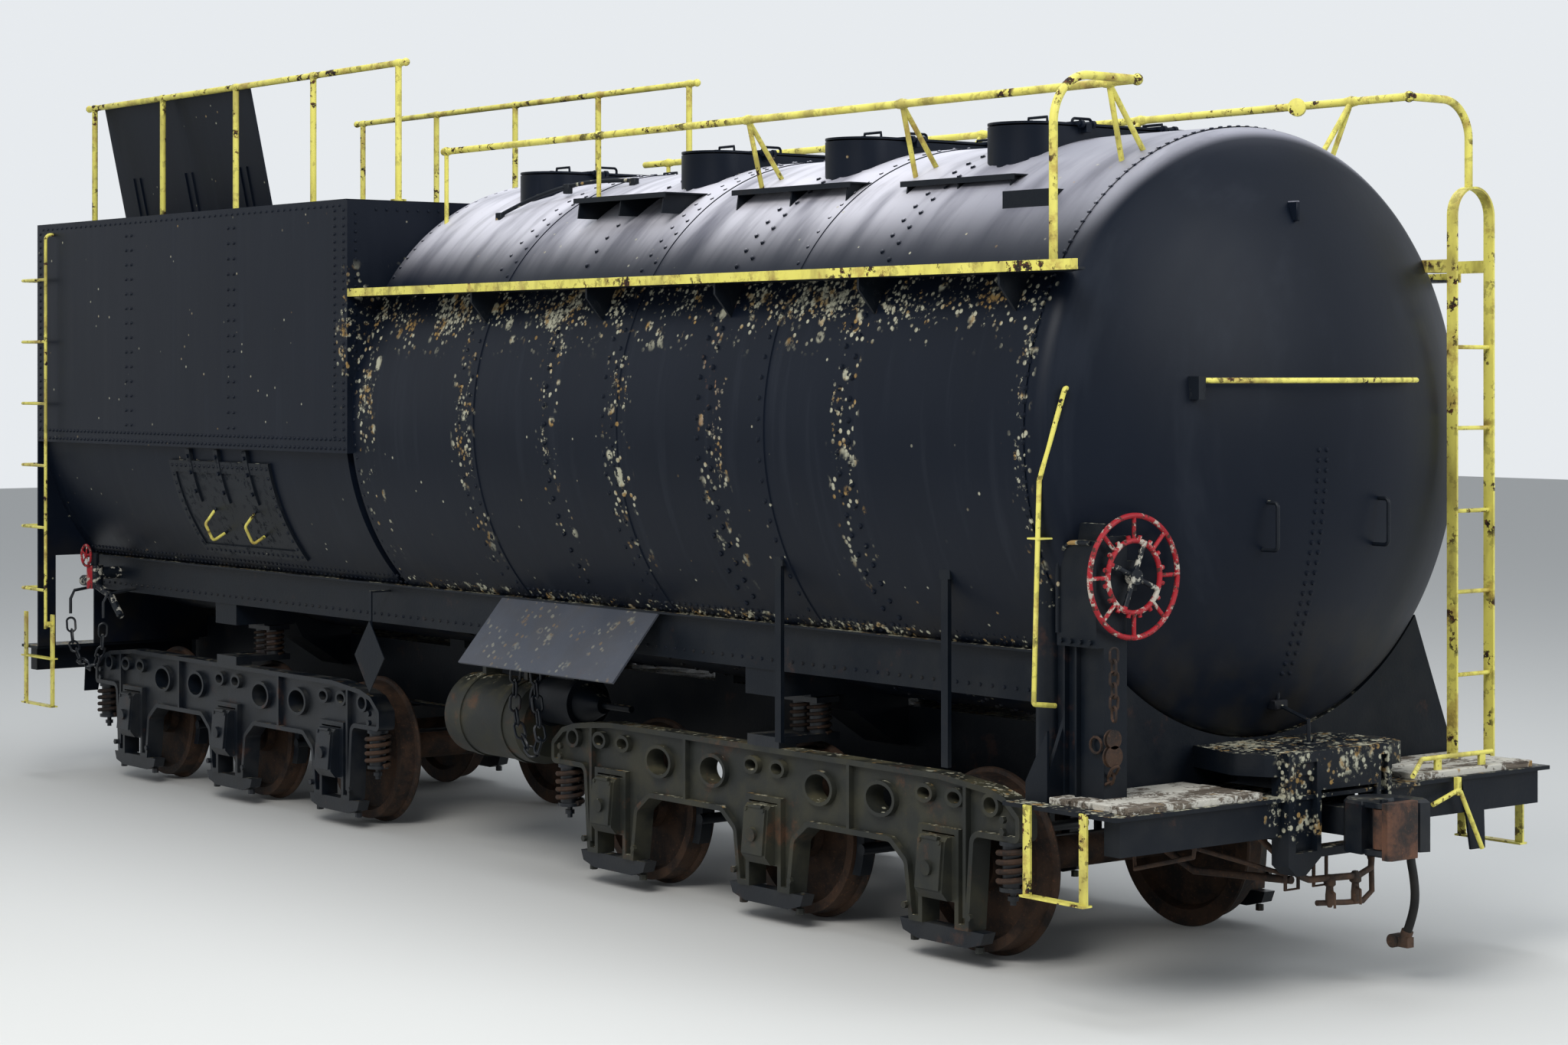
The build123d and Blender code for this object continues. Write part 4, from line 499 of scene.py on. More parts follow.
def rusty_iron(name, dark, brown, polish):
    """Unpainted iron: brown rust over dark metal."""
    s = Shader(name)
    fine = s.noise(55, 6, rough=0.7)
    patches = s.noise(6, 6, rough=0.65)
    colour = s.mix(s.step(patches, 0.36, 0.62), dark, brown)
    colour = s.mix(s.product(s.step(fine, 0.55, 0.72), 0.35), colour, RUST_PALE)
    height = s.math("ADD", fine, s.product(patches, 1.5))
    return s.finish(colour, s.blend(patches, polish, 0.88), height, 0.5, 0.003, metallic=0.15)


def deck_wood():
    """Grey weathered planks with the grain across the car, thick with white lichen."""
    s = Shader("deck_wood")
    grain = s.noise(3.0, 7, stretch=(22, 1.2, 22), rough=0.7)
    fine = s.noise(60, 4)
    wood = s.mix(s.step(grain, 0.35, 0.65), (0.060, 0.047, 0.036), (0.180, 0.150, 0.118))
    broad = s.noise(3.4, 5, stretch=(1.6, 0.8, 1), rough=0.7)
    spread = s.math("ADD", s.product(broad, 0.7), s.product(s.noise(34, 4, rough=0.7), 0.3))
    crust = s.step(spread, 0.47, 0.52)
    pale = s.mix(s.step(s.noise(6, 3), 0.60, 0.68), (0.52, 0.50, 0.44), LICHEN_OCHRE)
    colour = s.mix(crust, wood, pale)
    height = s.math("ADD", s.product(grain, 0.8), s.product(crust, s.math("ADD", fine, 0.5)))
    return s.finish(colour, s.blend(crust, 0.8, 0.92), height, 0.6, 0.006)


def lichen_crust():
    """Black steel under a thick crust of pale lichen."""
    s = Shader("lichen_crust")
    grown = lichen_patches(s, 0.80)
    fine = s.noise(50, 4)
    colour = s.mix(grown, s.mix(s.noise(3, 4), *BLACK), lichen_colour(s, 10, 0.52, 0.62))
    height = s.math("ADD", s.product(fine, 0.2), s.product(grown, s.math("ADD", fine, 0.6)))
    return s.finish(colour, s.blend(grown, 0.5, 0.92), height, 0.6, 0.006)


def hose_rubber():
    """Black rubber with pale dust."""
    s = Shader("hose_rubber")
    fine = s.noise(90, 4)
    dusty = s.step(s.noise(8, 4), 0.42, 0.7)
    colour = s.mix(s.product(dusty, 0.6), (0.013, 0.013, 0.013), (0.055, 0.050, 0.042))
    return s.finish(colour, s.blend(dusty, 0.62, 0.9), fine, 0.4, 0.001)


FINISHES = {
    "tank_paint": tank_paint(),
    "bunker_steel": rusty_iron("bunker_steel", (0.018, 0.014, 0.013), (0.075, 0.038, 0.022), 0.7),
    "frame_paint": black_steel("frame_paint", 0.50, (0.034, 0.034, 0.032), 0.14, 0.95,
                               roughness=0.40, sheen=0.15, crust_where=frame_crust),
    "sheet_paint": black_steel("sheet_paint", 0.35, (0.075, 0.068, 0.060), 0.10, 0.42,
                               paint=SHEET_GREY, spots=0.50),
    "mossy_steel": black_steel("mossy_steel", 0.95, (0.085, 0.078, 0.045), 0.40, 0.90, paint=MOSSY),
    "cast_steel": black_steel("cast_steel", 0.70, (0.040, 0.040, 0.036), 0.24, 0.50,
                              roughness=0.36, sheen=0.34),
    "hatch_paint": yellow_paint("hatch_paint", hatch_body),
    "yellow_paint": yellow_paint("yellow_paint"),
    "board_paint": yellow_paint("board_paint", inside_board),
    "handhold_paint": yellow_paint("handhold_paint", head_grips),
    "red_paint": red_paint("red_paint", hub_share),
    "valve_paint": red_paint("valve_paint", valve_body),
    "deck_wood": deck_wood(),
    "lichen_crust": lichen_crust(),
    "wheel_steel": rusty_iron("wheel_steel", (0.016, 0.013, 0.012), (0.055, 0.032, 0.021), 0.55),
    "coupler_iron": rusty_iron("coupler_iron", (0.026, 0.022, 0.021), (0.125, 0.062, 0.040), 0.55),
    "fitting_iron": rusty_iron("fitting_iron", (0.030, 0.025, 0.022), (0.100, 0.060, 0.040), 0.6),
    "hose_rubber": hose_rubber(),
}


# Nodes whose paint isn't that of their material slot
NODE_FINISHES = {
    "running_boards": "board_paint",
    "handholds": "handhold_paint",
    "water_valve": "valve_paint",
    "slant_cover": "sheet_paint",
    "side_hatch": "hatch_paint",
    "coupler_left": "cast_steel",
    "coupler_right": "cast_steel",
    "truck_right_side_frames": "mossy_steel",
    "truck_right_journal_boxes": "mossy_steel",
    "air_reservoir": "mossy_steel",
}


def dress_nodes():
    """Give every CAD node its finish, which is that of its material slot if nothing else is set."""
    for part in frame["record"]["subparts"]:
        mesh = nodes[part["node"]].data
        mesh.materials.clear()
        mesh.materials.append(FINISHES[NODE_FINISHES.get(part["node"], part["material_slot"])])


# Mesh pieces

class Piece:
    """A mesh under construction. Several small things can share one piece."""

    def __init__(self, name):
        self.name = name
        self.bm = bmesh.new()

    def turn_to(self, normal):
        """The turn that takes Z to a direction, and the direction at length 1."""
        return Vector(normal).to_track_quat("Z", "Y").to_matrix(), Vector(normal).normalized()

    def ring(self, centre, across, radius, sides):
        made = []
        for turn in full_circle(sides):
            place = Vector((radius * cos(turn), radius * sin(turn), 0))
            made.append(self.bm.verts.new(centre + across @ place))
        return made

    def bridge(self, first, second):
        for k in range(len(first)):
            after = (k + 1) % len(first)
            self.bm.faces.new((first[k], first[after], second[after], second[k]))

    def dome(self, centre, normal, radius, height):
        """A rivet head."""
        across, rise = self.turn_to(normal)
        low = self.ring(centre - rise * 0.002, across, radius, 7)
        mid = self.ring(centre + rise * height * 0.72, across, radius * 0.66, 7)
        tip = self.bm.verts.new(centre + rise * height)
        self.bridge(low, mid)
        for k in range(7):
            self.bm.faces.new((mid[k], mid[(k + 1) % 7], tip))

    def bolt(self, centre, normal, across_flats, height):
        """A hexagon head."""
        across, rise = self.turn_to(normal)
        radius = across_flats * 0.577
        low = self.ring(centre - rise * 0.002, across, radius, 6)
        top = self.ring(centre + rise * height, across, radius, 6)
        self.bridge(low, top)
        self.bm.faces.new(top)

    def tube(self, points, radius, sides=8, closed=False):
        """A bar of round section through points, or a ring where closed."""
        count = len(points)
        made = []
        across = last = None
        for k, point in enumerate(points):
            before = points[k - 1] if k > 0 or closed else point
            after = points[(k + 1) % count] if k < count - 1 or closed else point
            along = (after - before).normalized()
            if last is None:
                across, last = self.turn_to(along)
            across = last.rotation_difference(along).to_matrix() @ across
            last = along
            made.append(self.ring(point, across, radius, sides))
        for first, second in zip(made, made[1:]):
            self.bridge(first, second)
        if closed:
            self.bridge(made[-1], made[0])
        else:
            self.bm.faces.new(made[0][::-1])
            self.bm.faces.new(made[-1])

    def slab(self, low, high, bevel):
        """A box between two corners with broken edges."""
        size = high - low
        place = Matrix.Translation((low + high) / 2) @ Matrix.Diagonal((*size, 1))
        made = bmesh.ops.create_cube(self.bm, size=1.0, matrix=place)
        edges = {edge for vert in made["verts"] for edge in vert.link_edges}
        bmesh.ops.bevel(self.bm, geom=list(edges), offset=min(bevel, min(size) * 0.3), segments=1,
                        affect="EDGES", profile=0.5)

    def revolve(self, centre, axis, profile, sides):
        """A turned solid: profile holds distances along the axis and radii."""
        across, along = self.turn_to(axis)
        made = [self.ring(centre + along * run, across, radius, sides) for run, radius in profile]
        for first, second in zip(made, made[1:]):
            self.bridge(first, second)
        self.bm.faces.new(made[0][::-1])
        self.bm.faces.new(made[-1])

    def link(self, centre, along, flat, length, width, wire):
        """One chain link, long along one direction and wide along another."""
        points = []
        for turn in full_circle(16):
            straight = copysign((length - width) / 2, cos(turn))
            run = along * (straight + width / 2 * cos(turn))
            points.append(centre + run + flat * width / 2 * sin(turn))
        self.tube(points, wire, 6, closed=True)

    def chain(self, points, length, width, wire):
        """Links in turn flat and upright along a line of points."""
        pitch = length - 2.2 * wire
        runs = [(b - a).length for a, b in zip(points, points[1:])]
        count = max(1, int(sum(runs) / pitch))
        for k in range(count):
            travel = (k + 0.5) * pitch
            index = 0
            while index < len(runs) - 1 and travel > runs[index]:
                travel -= runs[index]
                index += 1
            along = (points[index + 1] - points[index]).normalized()
            side = along.cross(Vector((0.3, 1.0, 0.2))).normalized()
            flat = side if k % 2 else along.cross(side).normalized()
            self.link(points[index] + along * travel, along, flat, length, width, wire)

    def coil(self, centre, radius, height, turns, wire):
        """A spring standing on centre."""
        steps = int(turns * 16)
        points = []
        for k in range(steps + 1):
            turn = 2 * pi * turns * k / steps
            place = Vector((radius * cos(turn), radius * sin(turn), height * k / steps))
            points.append(centre + place)
        self.tube(points, wire)

    def done(self, slot, finish=None, body="car_body"):
        """Make the object, with sharp edges where faces meet steeply."""
        bmesh.ops.recalc_face_normals(self.bm, faces=self.bm.faces)
        for edge in self.bm.edges:
            if len(edge.link_faces) == 2 and edge.calc_face_angle() > radians(38):
                edge.smooth = False
        for face in self.bm.faces:
            face.smooth = True
        mesh = bpy.data.meshes.new(self.name)
        self.bm.to_mesh(mesh)
        self.bm.free()
        mesh.materials.append(FINISHES[finish or slot])
        made = new_object(self.name, mesh)
        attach(made, body)
        return made


# Air hoses: the route below the cock at the head end, as in the part, and the same at the left end

HOSE_Y = 0.38
HOSE_D = 0.044
COCK_X = DECK_X[1] + 0.075
LEFT_END_X = -5.36
HOSE_ROUTE = ((0.0, 0.680), (0.0, 0.600), (0.024, 0.505), (0.034, 0.400), (0.014, 0.305),
              (-0.016, 0.235))


def air_hose(end, side):
    """A bent hose between the angle cock and the hose coupling."""
    name = f"hose_{end}"
    points = []
    for run, z in HOSE_ROUTE:
        place = Vector((COCK_X + run, HOSE_Y, z))
        if side < 0:
            place = Vector((DECK_X[1] + LEFT_END_X - place.x, -place.y, z))
        points.append(at(*place))
    data = bpy.data.curves.new(name, "CURVE")
    data.dimensions = "3D"
    spline = data.splines.new("NURBS")
    spline.points.add(len(points) - 1)
    for target, point in zip(spline.points, points):
        target.co = (*point, 1)
    spline.order_u = 3
    spline.use_endpoint_u = True
    spline.resolution_u = 12
    data.bevel_depth = HOSE_D / 2
    data.bevel_resolution = 4
    data.use_fill_caps = True
    data.materials.append(FINISHES["hose_rubber"])
    made = new_object(name, data)
    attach(made, "car_body")
    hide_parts(f"air_hose_{end}")
    tuple(points[0])


# Tank skin: the same cylinder and dished head as the part's, with plate laps and dents

def head_profile():
    """Distances along the car and radii of the dished head, from its seam to the apex."""
    centre_x = HEAD_APEX_X - HEAD_CROWN_R
    knuckle_r = TANK_R - HEAD_KNUCKLE_R
    knuckle_x = centre_x + sqrt((HEAD_CROWN_R - HEAD_KNUCKLE_R) ** 2 - knuckle_r ** 2)
    turn = atan2(knuckle_r, knuckle_x - centre_x)
    profile = []
    for k in range(9):
        angle = pi / 2 - (pi / 2 - turn) * k / 8
        profile.append((knuckle_x + HEAD_KNUCKLE_R * cos(angle),
                        knuckle_r + HEAD_KNUCKLE_R * sin(angle)))
    for k in range(1, 33):
        angle = turn * (1 - k / 32)
        profile.append((centre_x + HEAD_CROWN_R * cos(angle), HEAD_CROWN_R * sin(angle)))
    return profile


def head_x(y, z):
    """Where the dished head's face is at a place across the car."""
    return HEAD_APEX_X - HEAD_CROWN_R + sqrt(HEAD_CROWN_R ** 2 - y ** 2 - (z - TANK_Z) ** 2)


def lap_radius(x):
    """Radius of the cylinder, where each course of plates laps over the next in turn."""
    course = sum(1 for edge in PLATE_EDGES if x > edge)
    return TANK_R + (LAP if course % 2 == 0 else 0.0)


def dent(place, x):
    """How far the plate stands out at a place, fading towards the head's apex."""
    broad = noise.noise(place * 1.3) * 0.0035
    small = noise.noise(place * 4.1 + Vector((7, 3, 1))) * 0.0012
    return (broad + small) * min(1.0, max(0.0, (HEAD_APEX_X - x) / 0.05))


def well_gap(x, y):
    """Signed distance to the nearest fill well's oblong outline and the way out of it."""
    best = None
    for centre, _ in WELLS:
        nearest = Vector((centre, max(-WELL_REACH, min(WELL_REACH, y))))
        away = Vector((x, y)) - nearest
        gap = away.length - WELL_HALF_W
        if best is None or gap < best[0]:
            best = (gap, away.normalized() if away.length > 1e-6 else Vector((1, 0)))
    return best


def tank_skin():
    """Shell and head in one skin, with the fill wells cut into it and the lug and stay bracket."""
    piece = Piece("tank_skin")
    sides, pitch = 300, 0.045
    well_low_z = TANK_Z + 1.2
    lap_x = HEAD_SEAM_X - 0.05
    stations = [TANK_X0]
    while stations[-1] < lap_x - 0.01:
        stations.append(stations[-1] + pitch)
    for edge in PLATE_EDGES:
        stations += [edge - 0.001, edge + 0.001]
    rows = []
    for x in sorted(stations):
        gaps = [abs(x - edge) for edge in PLATE_EDGES]
        if all(gap > 0.012 or gap < 0.0015 for gap in gaps):
            rows.append((x, lap_radius(x)))
    rows += [(lap_x - 0.002, TANK_R + LAP), (lap_x, TANK_R)]
    rows += head_profile()[:-1]
    rings = []
    for x, r in rows:
        ring = []
        for turn in full_circle(sides):
            outward = Vector((0, sin(turn), cos(turn)))
            place = Vector((x, 0, TANK_Z)) + outward * r
            place += outward * dent(place, x)
            if place.z > well_low_z and x < HEAD_SEAM_X:
                gap, away = well_gap(place.x, place.y)
                if -0.012 < gap < 0.020:
                    place.x -= away.x * gap
                    place.y -= away.y * gap
            ring.append(piece.bm.verts.new(place + SHIFT))
        rings.append(ring)
    for first, second in zip(rings, rings[1:]):
        piece.bridge(first, second)
    tip = piece.bm.verts.new(at(HEAD_APEX_X, 0, TANK_Z))
    for k in range(sides):
        piece.bm.faces.new((rings[-1][k], rings[-1][(k + 1) % sides], tip))
    piece.bm.faces.new(rings[0])
    inside = []
    for face in piece.bm.faces:
        x, y, z = face.calc_center_median() - SHIFT
        if z > well_low_z and x < HEAD_SEAM_X and well_gap(x, y)[0] < -0.002:
            inside.append(face)
    bmesh.ops.delete(piece.bm, geom=inside, context="FACES")
    for centre, rim_z in WELLS:
        well_liner(piece, centre, rim_z)
    for z, half_y, low, high in ((LUG_Z, 0.012, 0.055, 0.045), (STAY_Z, 0.045, 0.025, 0.025)):
        x = head_x(0, z)
        piece.slab(at(x - 0.06, -half_y, z - low), at(x + 0.048, half_y, z + high), 0.006)
    made = piece.done("tank_paint")
    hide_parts("tank_shell")


def well_liner(piece, centre, rim_z):
    """Wall and floor of a fill well, seen where its lid stands open."""
    radius = WELL_HALF_W * 0.995
    top, low = [], []
    for turn in full_circle(40):
        x = centre + radius * sin(turn)
        y = copysign(WELL_REACH, cos(turn)) + radius * cos(turn)
        surface = TANK_Z + sqrt(TANK_R ** 2 - y ** 2)
        top.append(piece.bm.verts.new(at(x, y, surface + 0.002)))
        low.append(piece.bm.verts.new(at(x, y, rim_z - WELL_DEPTH)))
    piece.bridge(top, low)
    piece.bm.faces.new(low)


def trough_skin():
    """The tank's lower part under the bunker, flat where the bunker floor covers it."""
    piece = Piece("trough_skin")
    sides, pitch = 130, 0.09
    half = acos((TROUGH_TOP_Z - TANK_Z) / TANK_R)
    rings = []
    x = TROUGH_X0
    while x <= TANK_X0 - 0.014:
        ring = []
        for k in range(sides + 1):
            turn = half + (2 * pi - 2 * half) * k / sides
            outward = Vector((0, sin(turn), cos(turn)))
            place = Vector((x, 0, TANK_Z)) + outward * TANK_R
            if 0 < k < sides:
                place += outward * dent(place, x)
            ring.append(piece.bm.verts.new(place + SHIFT))
        rings.append(ring)
        x += pitch
    for first, second in zip(rings, rings[1:]):
        piece.bridge(first, second)
    piece.bm.faces.new(rings[0][::-1])
    piece.bm.faces.new(rings[-1])
    made = piece.done("tank_paint")
    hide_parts("bunker_trough")


# Rivets

def on_tank(x, turn, lift=0.004):
    """A place on the cylinder and its way out; turn 0 is the top and positive the far side."""
    outward = Vector((0, sin(turn), cos(turn)))
    return at(x, 0, TANK_Z) + outward * (TANK_R + lift), outward


def tank_rivets():
    """Rivets round the tank at each plate's edge, the head's seam and the bunker."""
    piece = Piece("tank_rivets")
    round_count = 88
    for column, x in enumerate(SEAMS):
        for k in range(round_count):
            turn = 2 * pi * (k + 0.5 * (column % 2)) / round_count
            if well_gap(x, TANK_R * sin(turn))[0] < 0.03 and cos(turn) > 0.5:
                continue
            place, outward = on_tank(x, turn)
            piece.dome(place, outward, *RIVET)
    for x, count in ((HEAD_SEAM_X - 0.025, 150), (TANK_X0 + 0.03, 120)):
        for turn in full_circle(count):
            place, outward = on_tank(x, turn, 0.002)
            piece.dome(place, outward, *RIVET)
    piece.done("tank_paint")


def rivet_row(piece, start, end, count, normal, radius=0.013):
    """A straight row of rivets on a wall."""
    start, end = at(*start), at(*end)
    for k in range(count):
        piece.dome(start.lerp(end, k / (count - 1)), normal, radius, radius * 0.68)


def bunker_rivets():
    """Rows on the bunker's sides, then on its two ends."""
    piece = Piece("bunker_rivets")
    x0, x1 = BUNKER_X
    skirt, top = BUNKER_SKIRT_Z, BUNKER_TOP_Z
    columns = [(x, skirt + 0.14, top - 0.12, 14) for x in (-3.64, -3.56, -2.14, -2.06)]
    columns += [(x, skirt + 0.10, top - 0.06, 30) for x in (x1 - 0.05, x1 - 0.16, x0 + 0.05)]
    for side in (-1, 1):
        y = side * BUNKER_HALF
        normal = (0, side, 0)
        for x, z0, z1, count in columns:
            rivet_row(piece, (x, y, z0), (x, y, z1), count, normal)
        for z in (skirt + 0.028, skirt + 0.085):
            rivet_row(piece, (x0 + 0.04, y, z), (x1 - 0.04, y, z), 78, normal)
        rivet_row(piece, (x0 + 0.1, y, top - 0.03), (x1 - 0.1, y, top - 0.03), 56, normal, 0.011)
    for y in (-1.50, 1.50):
        rivet_row(piece, (x1, y, skirt + 0.3), (x1, y, top - 0.08), 22, (1, 0, 0))
        rivet_row(piece, (x0, y, 1.0), (x0, y, top - 0.08), 40, (-1, 0, 0))
    for z in (1.67, 2.50, top - 0.05):
        rivet_row(piece, (x0, -1.45, z), (x0, 1.45, z), 40, (-1, 0, 0))
    rivet_row(piece, (x1, -1.35, top - 0.05), (x1, 1.35, top - 0.05), 36, (1, 0, 0))
    piece.done("tank_paint")


def sill_rivets():
    """Two staggered rows on the tank above each side sill, and one row on the sill."""
    piece = Piece("sill_rivets")
    x0, x1 = TROUGH_X0 + 0.05, HEAD_SEAM_X - 0.09
    count = 190
    for side in (-1, 1):
        turn = side * (pi - asin((SILL_Y + 0.004) / TANK_R))
        for k in range(count):
            x = x0 + (x1 - x0) * k / (count - 1)
            for shift, stagger in ((0.025, 0.0), (0.062, 0.014)):
                place, outward = on_tank(x + stagger, turn - side * shift, 0.001)
                piece.dome(place, outward, 0.013, 0.009)
        y = side * (SILL_Y + 0.012)
        rivet_row(piece, (x0, y, 1.42), (x1, y, 1.42), 120, (0, side, 0), 0.012)
    piece.done("tank_paint")


# Springs and bolts of the trucks

def truck_springs(name):
    """Coils outside the frame's ends and over its middle box."""
    piece = Piece(f"truck_{name}_coils")
    middle = TRUCK_X[name]
    for side in (-1, 1):
        for x in (-END_SPRING_X, END_SPRING_X):
            piece.coil(at(middle + x, side * (FRAME_FACE_Y - 0.06), 0.42), 0.074, 0.21, 4.5, 0.015)
        for x in (-0.075, 0.075):
            piece.coil(at(middle + x, side * 0.745, 1.0), 0.062, 0.17, 4.5, 0.010)
    piece.done("cast_steel", "wheel_steel", f"truck_{name}")


def truck_bolts(name):
    """Bolts of the pedestal ties, the boxes' lids and the frame's ends."""
    piece = Piece(f"truck_{name}_bolts")
    middle = TRUCK_X[name]
    for side in (-1, 1):
        face, outward = side * FRAME_FACE_Y, (0, side, 0)
        for axle_x in (middle - AXLE_SPACING, middle, middle + AXLE_SPACING):
            for offset in (-0.25, 0.25):
                x = axle_x + offset
                lid_x = axle_x + offset * 0.30
                piece.bolt(at(x, face - side * 0.06, 0.083), (0, 0, -1), 0.040, 0.030)
                piece.bolt(at(x, face, 0.24), outward, 0.034, 0.020)
                piece.bolt(at(lid_x, face + side * 0.052, 0.600), (0, side, 0.08), 0.022, 0.014)
        for x in (middle - END_SPRING_X, middle + END_SPRING_X):
            for z in (0.70, 0.76):
                piece.bolt(at(x, face, z), outward, 0.034, 0.020)
    piece.done("cast_steel", "mossy_steel" if name == "right" else None, f"truck_{name}")


# Fittings that scene.py adds

def saddle_rivets():
    """Rivets round the flange that holds the tank on the end deck."""
    piece = Piece("saddle_rivets")
    lift, count = 0.016, 46
    reach = asin(1.10 / (TANK_R + lift))
    for x, offset in ((5.640, 0.0), (5.690, 0.5)):
        for k in range(count):
            turn = pi + reach * (2 * (k + offset) / count - 1)
            place, outward = on_tank(x, turn, lift)
            piece.dome(place, outward, *SMALL_RIVET)
    piece.done("tank_paint", "lichen_crust")


def head_bolts():
    """Double column of bolts down the middle of the dished head."""
    piece = Piece("head_bolts")
    for y in (-0.028, 0.028):
        for k in range(23):
            z = 2.60 - k * 0.0505
            x = head_x(y, z)
            outward = Vector((x - HEAD_APEX_X + HEAD_CROWN_R, y, z - TANK_Z)).normalized()
            piece.dome(at(x, y, z), outward, 0.014, 0.011)
    piece.done("tank_paint")


def deck_planks(side, near_y, far_y):
    """Planks across the end deck beside the nose."""
    piece = Piece(f"deck_planks_{side}")
    x0, x1 = DECK_X[0], DECK_X[1] - 0.02
    count = 4
    pitch = (x1 - x0) / count
    for k in range(count):
        rise = 0.030 + 0.003 * (k % 2)
        low = at(x0 + k * pitch + 0.003, near_y + 0.01 * (k % 3), DECK_Z - 0.002)
        high = at(x0 + (k + 1) * pitch - 0.003, far_y, DECK_Z + rise)
        piece.slab(low, high, 0.004)
    piece.done("frame_paint", "deck_wood")


def arc_place(x, y, z, radius, turn):
    """A place on a circle whose axis runs across the car."""
    return at(x + radius * cos(turn), y, z + radius * sin(turn))


def handbrake_chain():
    """Chain from the gear case down to its sheave on the casing's panel."""
    piece = Piece("handbrake_chain")
    x, y = 6.045, CASING_FACE_Y + 0.035
    link = (0.070, 0.042, 0.007)
    below = route((x, y + 0.01, 1.14), (x - 0.09, y + 0.05, 1.05), (x - 0.20, y + 0.09, 0.99))
    piece.chain(route((x, y, 1.69), (x, y, 1.33)), *link)
    for z, radius in ((1.27, 0.045), (1.19, 0.052)):
        groove = radius * 0.75
        profile = ((0, radius), (0.008, radius), (0.010, groove), (0.020, groove), (0.022, radius),
                   (0.030, radius))
        piece.revolve(at(x - 0.035, y + 0.01, z), (1, 0, 0), profile, 24)
    piece.chain(below, *link)
    ring = [arc_place(5.925, y, 1.235, 0.038, turn) for turn in full_circle(16)]
    piece.tube(ring, 0.007, 6, closed=True)
    piece.done("frame_paint", "wheel_steel")


def casing_rim():
    """Raised rim of the gear case, thick with lichen, and the bolts of its flanges."""
    piece = Piece("casing_rim")
    x0, x1, y = 5.70, 5.955, CASING_FACE_Y - 0.002
    arc = [arc_place(x0 + 0.12, y, 2.065, 0.115, pi * (1 - k / 14)) for k in range(8)]
    piece.tube([at(x0 + 0.005, y, 1.75)] + arc + [at(x1 - 0.03, y, 2.18)], 0.011)
    piece.done("frame_paint", "lichen_crust")
    bolts = Piece("casing_bolts")
    for k in range(5):
        bolts.bolt(at(5.62, CASING_FACE_Y + 0.05, 1.10 + k * 0.26), (0, -1, 0), 0.026, 0.014)
    for k in range(4):
        bolts.bolt(at(5.73 + k * 0.065, CASING_FACE_Y - 0.001, 1.715), (0, -1, 0), 0.022, 0.012)
    bolts.done("frame_paint")


def stay_rod():
    """Thin rod from the bracket under the head to a foot on the nose."""
    piece = Piece("stay_rod")
    top = head_x(0, STAY_Z)
    piece.tube(route((top + 0.02, 0, STAY_Z + 0.17), (top + 0.02, 0, STAY_Z), (6.036, 0, 1.27),
                     (6.036, 0, NOSE_TOP_Z)), 0.011)
    piece.slab(at(6.0, -0.05, NOSE_TOP_Z - 0.002), at(6.08, 0.05, NOSE_TOP_Z + 0.012), 0.003)
    for y in (-0.035, 0.035):
        piece.bolt(at(6.04, y, NOSE_TOP_Z + 0.012), (0, 0, 1), 0.02, 0.012)
    piece.done("frame_paint")


def brake_pipes():
    """Rods, air pipe and cocks under the end deck, seen below the coupler."""
    rods = Piece("brake_rods")
    rods.tube(route((5.30, -0.30, 0.60), (5.55, -0.30, 0.50), (6.20, -0.30, 0.535)), 0.020, 10)
    rods.tube(route((5.88, -0.90, 0.80), (5.90, -0.88, 0.754), (6.19, -0.32, 0.56)), 0.012)
    rods.tube(route((5.73, -0.90, 0.80), (5.74, -0.90, 0.59), (6.13, -0.90, 0.694),
                    (6.15, -0.90, 0.82)), 0.012)
    for y in (-0.30, -0.10):
        rods.tube(route((6.20, y - 0.045, 0.66), (6.20, y - 0.045, 0.49), (6.20, y + 0.045, 0.49),
                        (6.20, y + 0.045, 0.66)), 0.010, 6)
    rods.done("frame_paint", "wheel_steel")
    pipes = Piece("brake_pipes")
    pipes.tube(route((5.95, -0.25, 0.70), (6.20, -0.25, 0.55), (6.20, -0.18, 0.525),
                     (6.20, 0.18, 0.51), (6.20, 0.27, 0.54), (6.18, 0.30, 0.62),
                     (6.10, 0.34, 0.70)), 0.017, 10)
    pipes.tube(route((6.18, -0.10, 0.40), (6.19, 0.10, 0.385), (6.19, 0.22, 0.38),
                     (6.18, 0.30, 0.42), (6.15, 0.33, 0.56), (6.08, 0.34, 0.68)), 0.014, 10)
    cock = ((0, 0.014), (0.02, 0.030), (0.05, 0.030), (0.06, 0.018), (0.10, 0.022), (0.14, 0.022),
            (0.16, 0.010))
    for y in (-0.03, 0.156):
        pipes.revolve(at(6.20, y, 0.535), (0, 0, -1), cock, 12)
        pipes.tube(route((6.20, y, 0.46), (6.25, y - 0.02, 0.45), (6.26, y - 0.03, 0.38)), 0.007, 6)
    pipes.done("fitting_iron")


def hatch_rivets():
    """Rivets round the side hatch's frame, its nuts and hinge pins."""
    piece = Piece("hatch_rivets")
    x0, x1 = HATCH_DOOR_X
    low, high = HATCH_DOOR_ANGLE

    edge, edge_angle = 0.035, 1.3
    left, right = x0 + edge, x1 - edge
    upper, lower = low + edge_angle, high - edge_angle
    spots = [(left + (right - left) * k / 20, angle) for k in range(21) for angle in (upper, lower)]
    spots += [(x, upper + (lower - upper) * k / 10) for k in range(1, 10) for x in (left, right)]
    for x, angle in spots:
        place, outward = on_tank(x, radians(-90 - angle), 0.021)
        piece.dome(place, outward, *SMALL_RIVET)
    for x in (x0 + 0.3, (x0 + x1) / 2, x1 - 0.3):
        for angle in (low - 1.2, low + 3, low + 8):
            place, outward = on_tank(x, radians(-90 - angle), 0.025)
            piece.bolt(place, outward, 0.026, 0.014)
    piece.done("tank_paint")


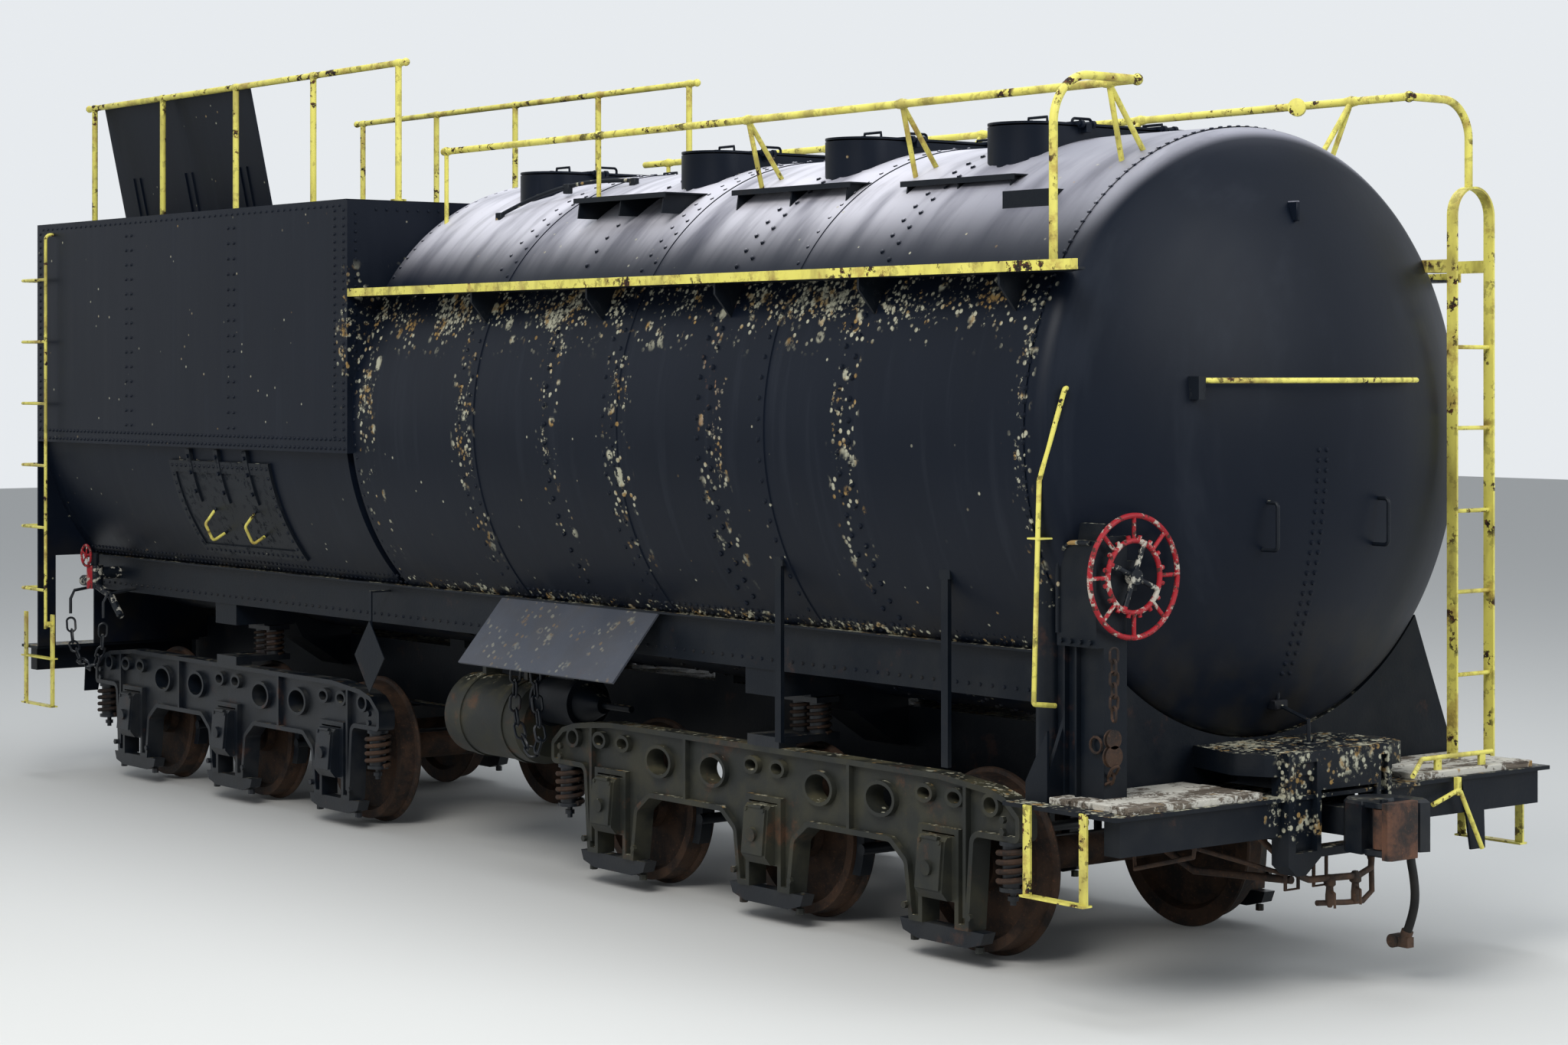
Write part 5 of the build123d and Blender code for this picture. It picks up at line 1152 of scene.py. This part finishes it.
def top_pipe():
    """Bent pipe with its clips on the tank's shoulder."""
    piece = Piece("top_pipe")
    points = []
    for k in range(15):
        share = k / 14
        x = 0.12 + 0.91 * share
        y = -0.86 + 0.37 * share + 0.03 * sin(share * pi)
        turn = asin(y / TANK_R)
        place, _ = on_tank(x, turn, 0.022 + 0.045 * sin(share * pi))
        points.append(place)
    piece.tube(points, 0.013)
    below, above = Vector((0.03, 0.018, 0.045)), Vector((0.03, 0.018, 0.016))
    for place in (points[0], points[7], points[14]):
        piece.slab(place - below, place + above, 0.004)
    piece.done("tank_paint", "lichen_crust")


def hanging_chains():
    """Safety chains that hang in loops before the air reservoir and at the bunker's corner."""
    piece = Piece("hanging_chains")
    link = (0.105, 0.062, 0.0085)
    reservoir_y, corner_y = -1.125, -1.350
    before_reservoir = ((0.686, 1.37), (0.672, 0.98), (0.694, 0.88), (0.728, 0.815), (0.80, 0.73),
                        (0.853, 0.702), (0.91, 0.73), (0.95, 0.80), (0.935, 0.86), (0.90, 1.10),
                        (0.885, 1.37))
    at_corner = ((-4.973, 1.15), (-4.934, 0.972), (-4.805, 0.857), (-4.68, 0.825), (-4.552, 0.841),
                 (-4.451, 0.977), (-4.426, 1.15))
    for y, loop in ((reservoir_y, before_reservoir), (corner_y, at_corner)):
        piece.chain([at(x, y, z) for x, z in loop], *link)
    for x in (at_corner[0][0], at_corner[-1][0]):
        piece.tube(route((x, -1.06, 1.40), (x, corner_y + 0.03, 1.36), (x, corner_y, 1.30),
                         (x, corner_y, 1.19)), 0.012)
    piece.done("frame_paint", "cast_steel")


def rail_tees():
    """Cast tees where the rails' posts meet them, and the round cap on the far rail."""
    piece = Piece("rail_tees")
    tee = ((-0.042, 0.017), (-0.036, 0.024), (-0.012, 0.027), (0.012, 0.027), (0.036, 0.024),
           (0.042, 0.017))
    bunker_rail = (1.151, 4.949, (-4.979, -3.882, -2.79, -1.72, -0.635))
    tank_rail = (0.877, 4.39, (-0.499, 1.202, 2.661, 3.987, 5.537))
    for side in (-1, 1):
        for y, z, posts in (bunker_rail, tank_rail):
            for x in posts:
                piece.revolve(at(x, side * y, z), (1, 0, 0), tee, 12)
    cap = ((0, 0.02), (0.01, 0.045), (0.05, 0.048), (0.055, 0.030))
    piece.revolve(at(5.24, 0.80, 4.37), (0.6, -1, 0.1), cap, 16)
    piece.done("yellow_paint")


def lid_handles():
    """Two bent handles and the clamp bolts on each fill lid."""
    for number, (x, rim_z) in enumerate(WELLS, 1):
        piece = Piece(f"fill_lid_{number}_handle")
        top = rim_z + 0.011
        grip_z = top + 0.045
        for y in (-0.42, 0.42):
            piece.tube(route((x - 0.075, y, top), (x - 0.07, y, grip_z), (x + 0.07, y, grip_z),
                             (x + 0.075, y, top)), 0.008)
        for y in (-0.60, -0.22, 0.0, 0.22, 0.60):
            for across in (-0.14, 0.14):
                piece.bolt(at(x + across, y, top), (0, 0, 1), 0.024, 0.012)
        piece.done("tank_paint", body=f"fill_lid_{number}")


world()
floor()
camera()
lights()
dress_nodes()
air_hose("right", 1)
air_hose("left", -1)
tank_skin()
trough_skin()
tank_rivets()
bunker_rivets()
sill_rivets()
saddle_rivets()
head_bolts()
deck_planks("near", -DECK_HALF, -NOSE_HALF)
deck_planks("far", NOSE_HALF, DECK_HALF)
handbrake_chain()
casing_rim()
stay_rod()
brake_pipes()
hatch_rivets()
top_pipe()
hanging_chains()
rail_tees()
lid_handles()
for truck in TRUCK_X:
    truck_springs(truck)
    truck_bolts(truck)

bpy.context.scene.view_settings.view_transform = "Standard"
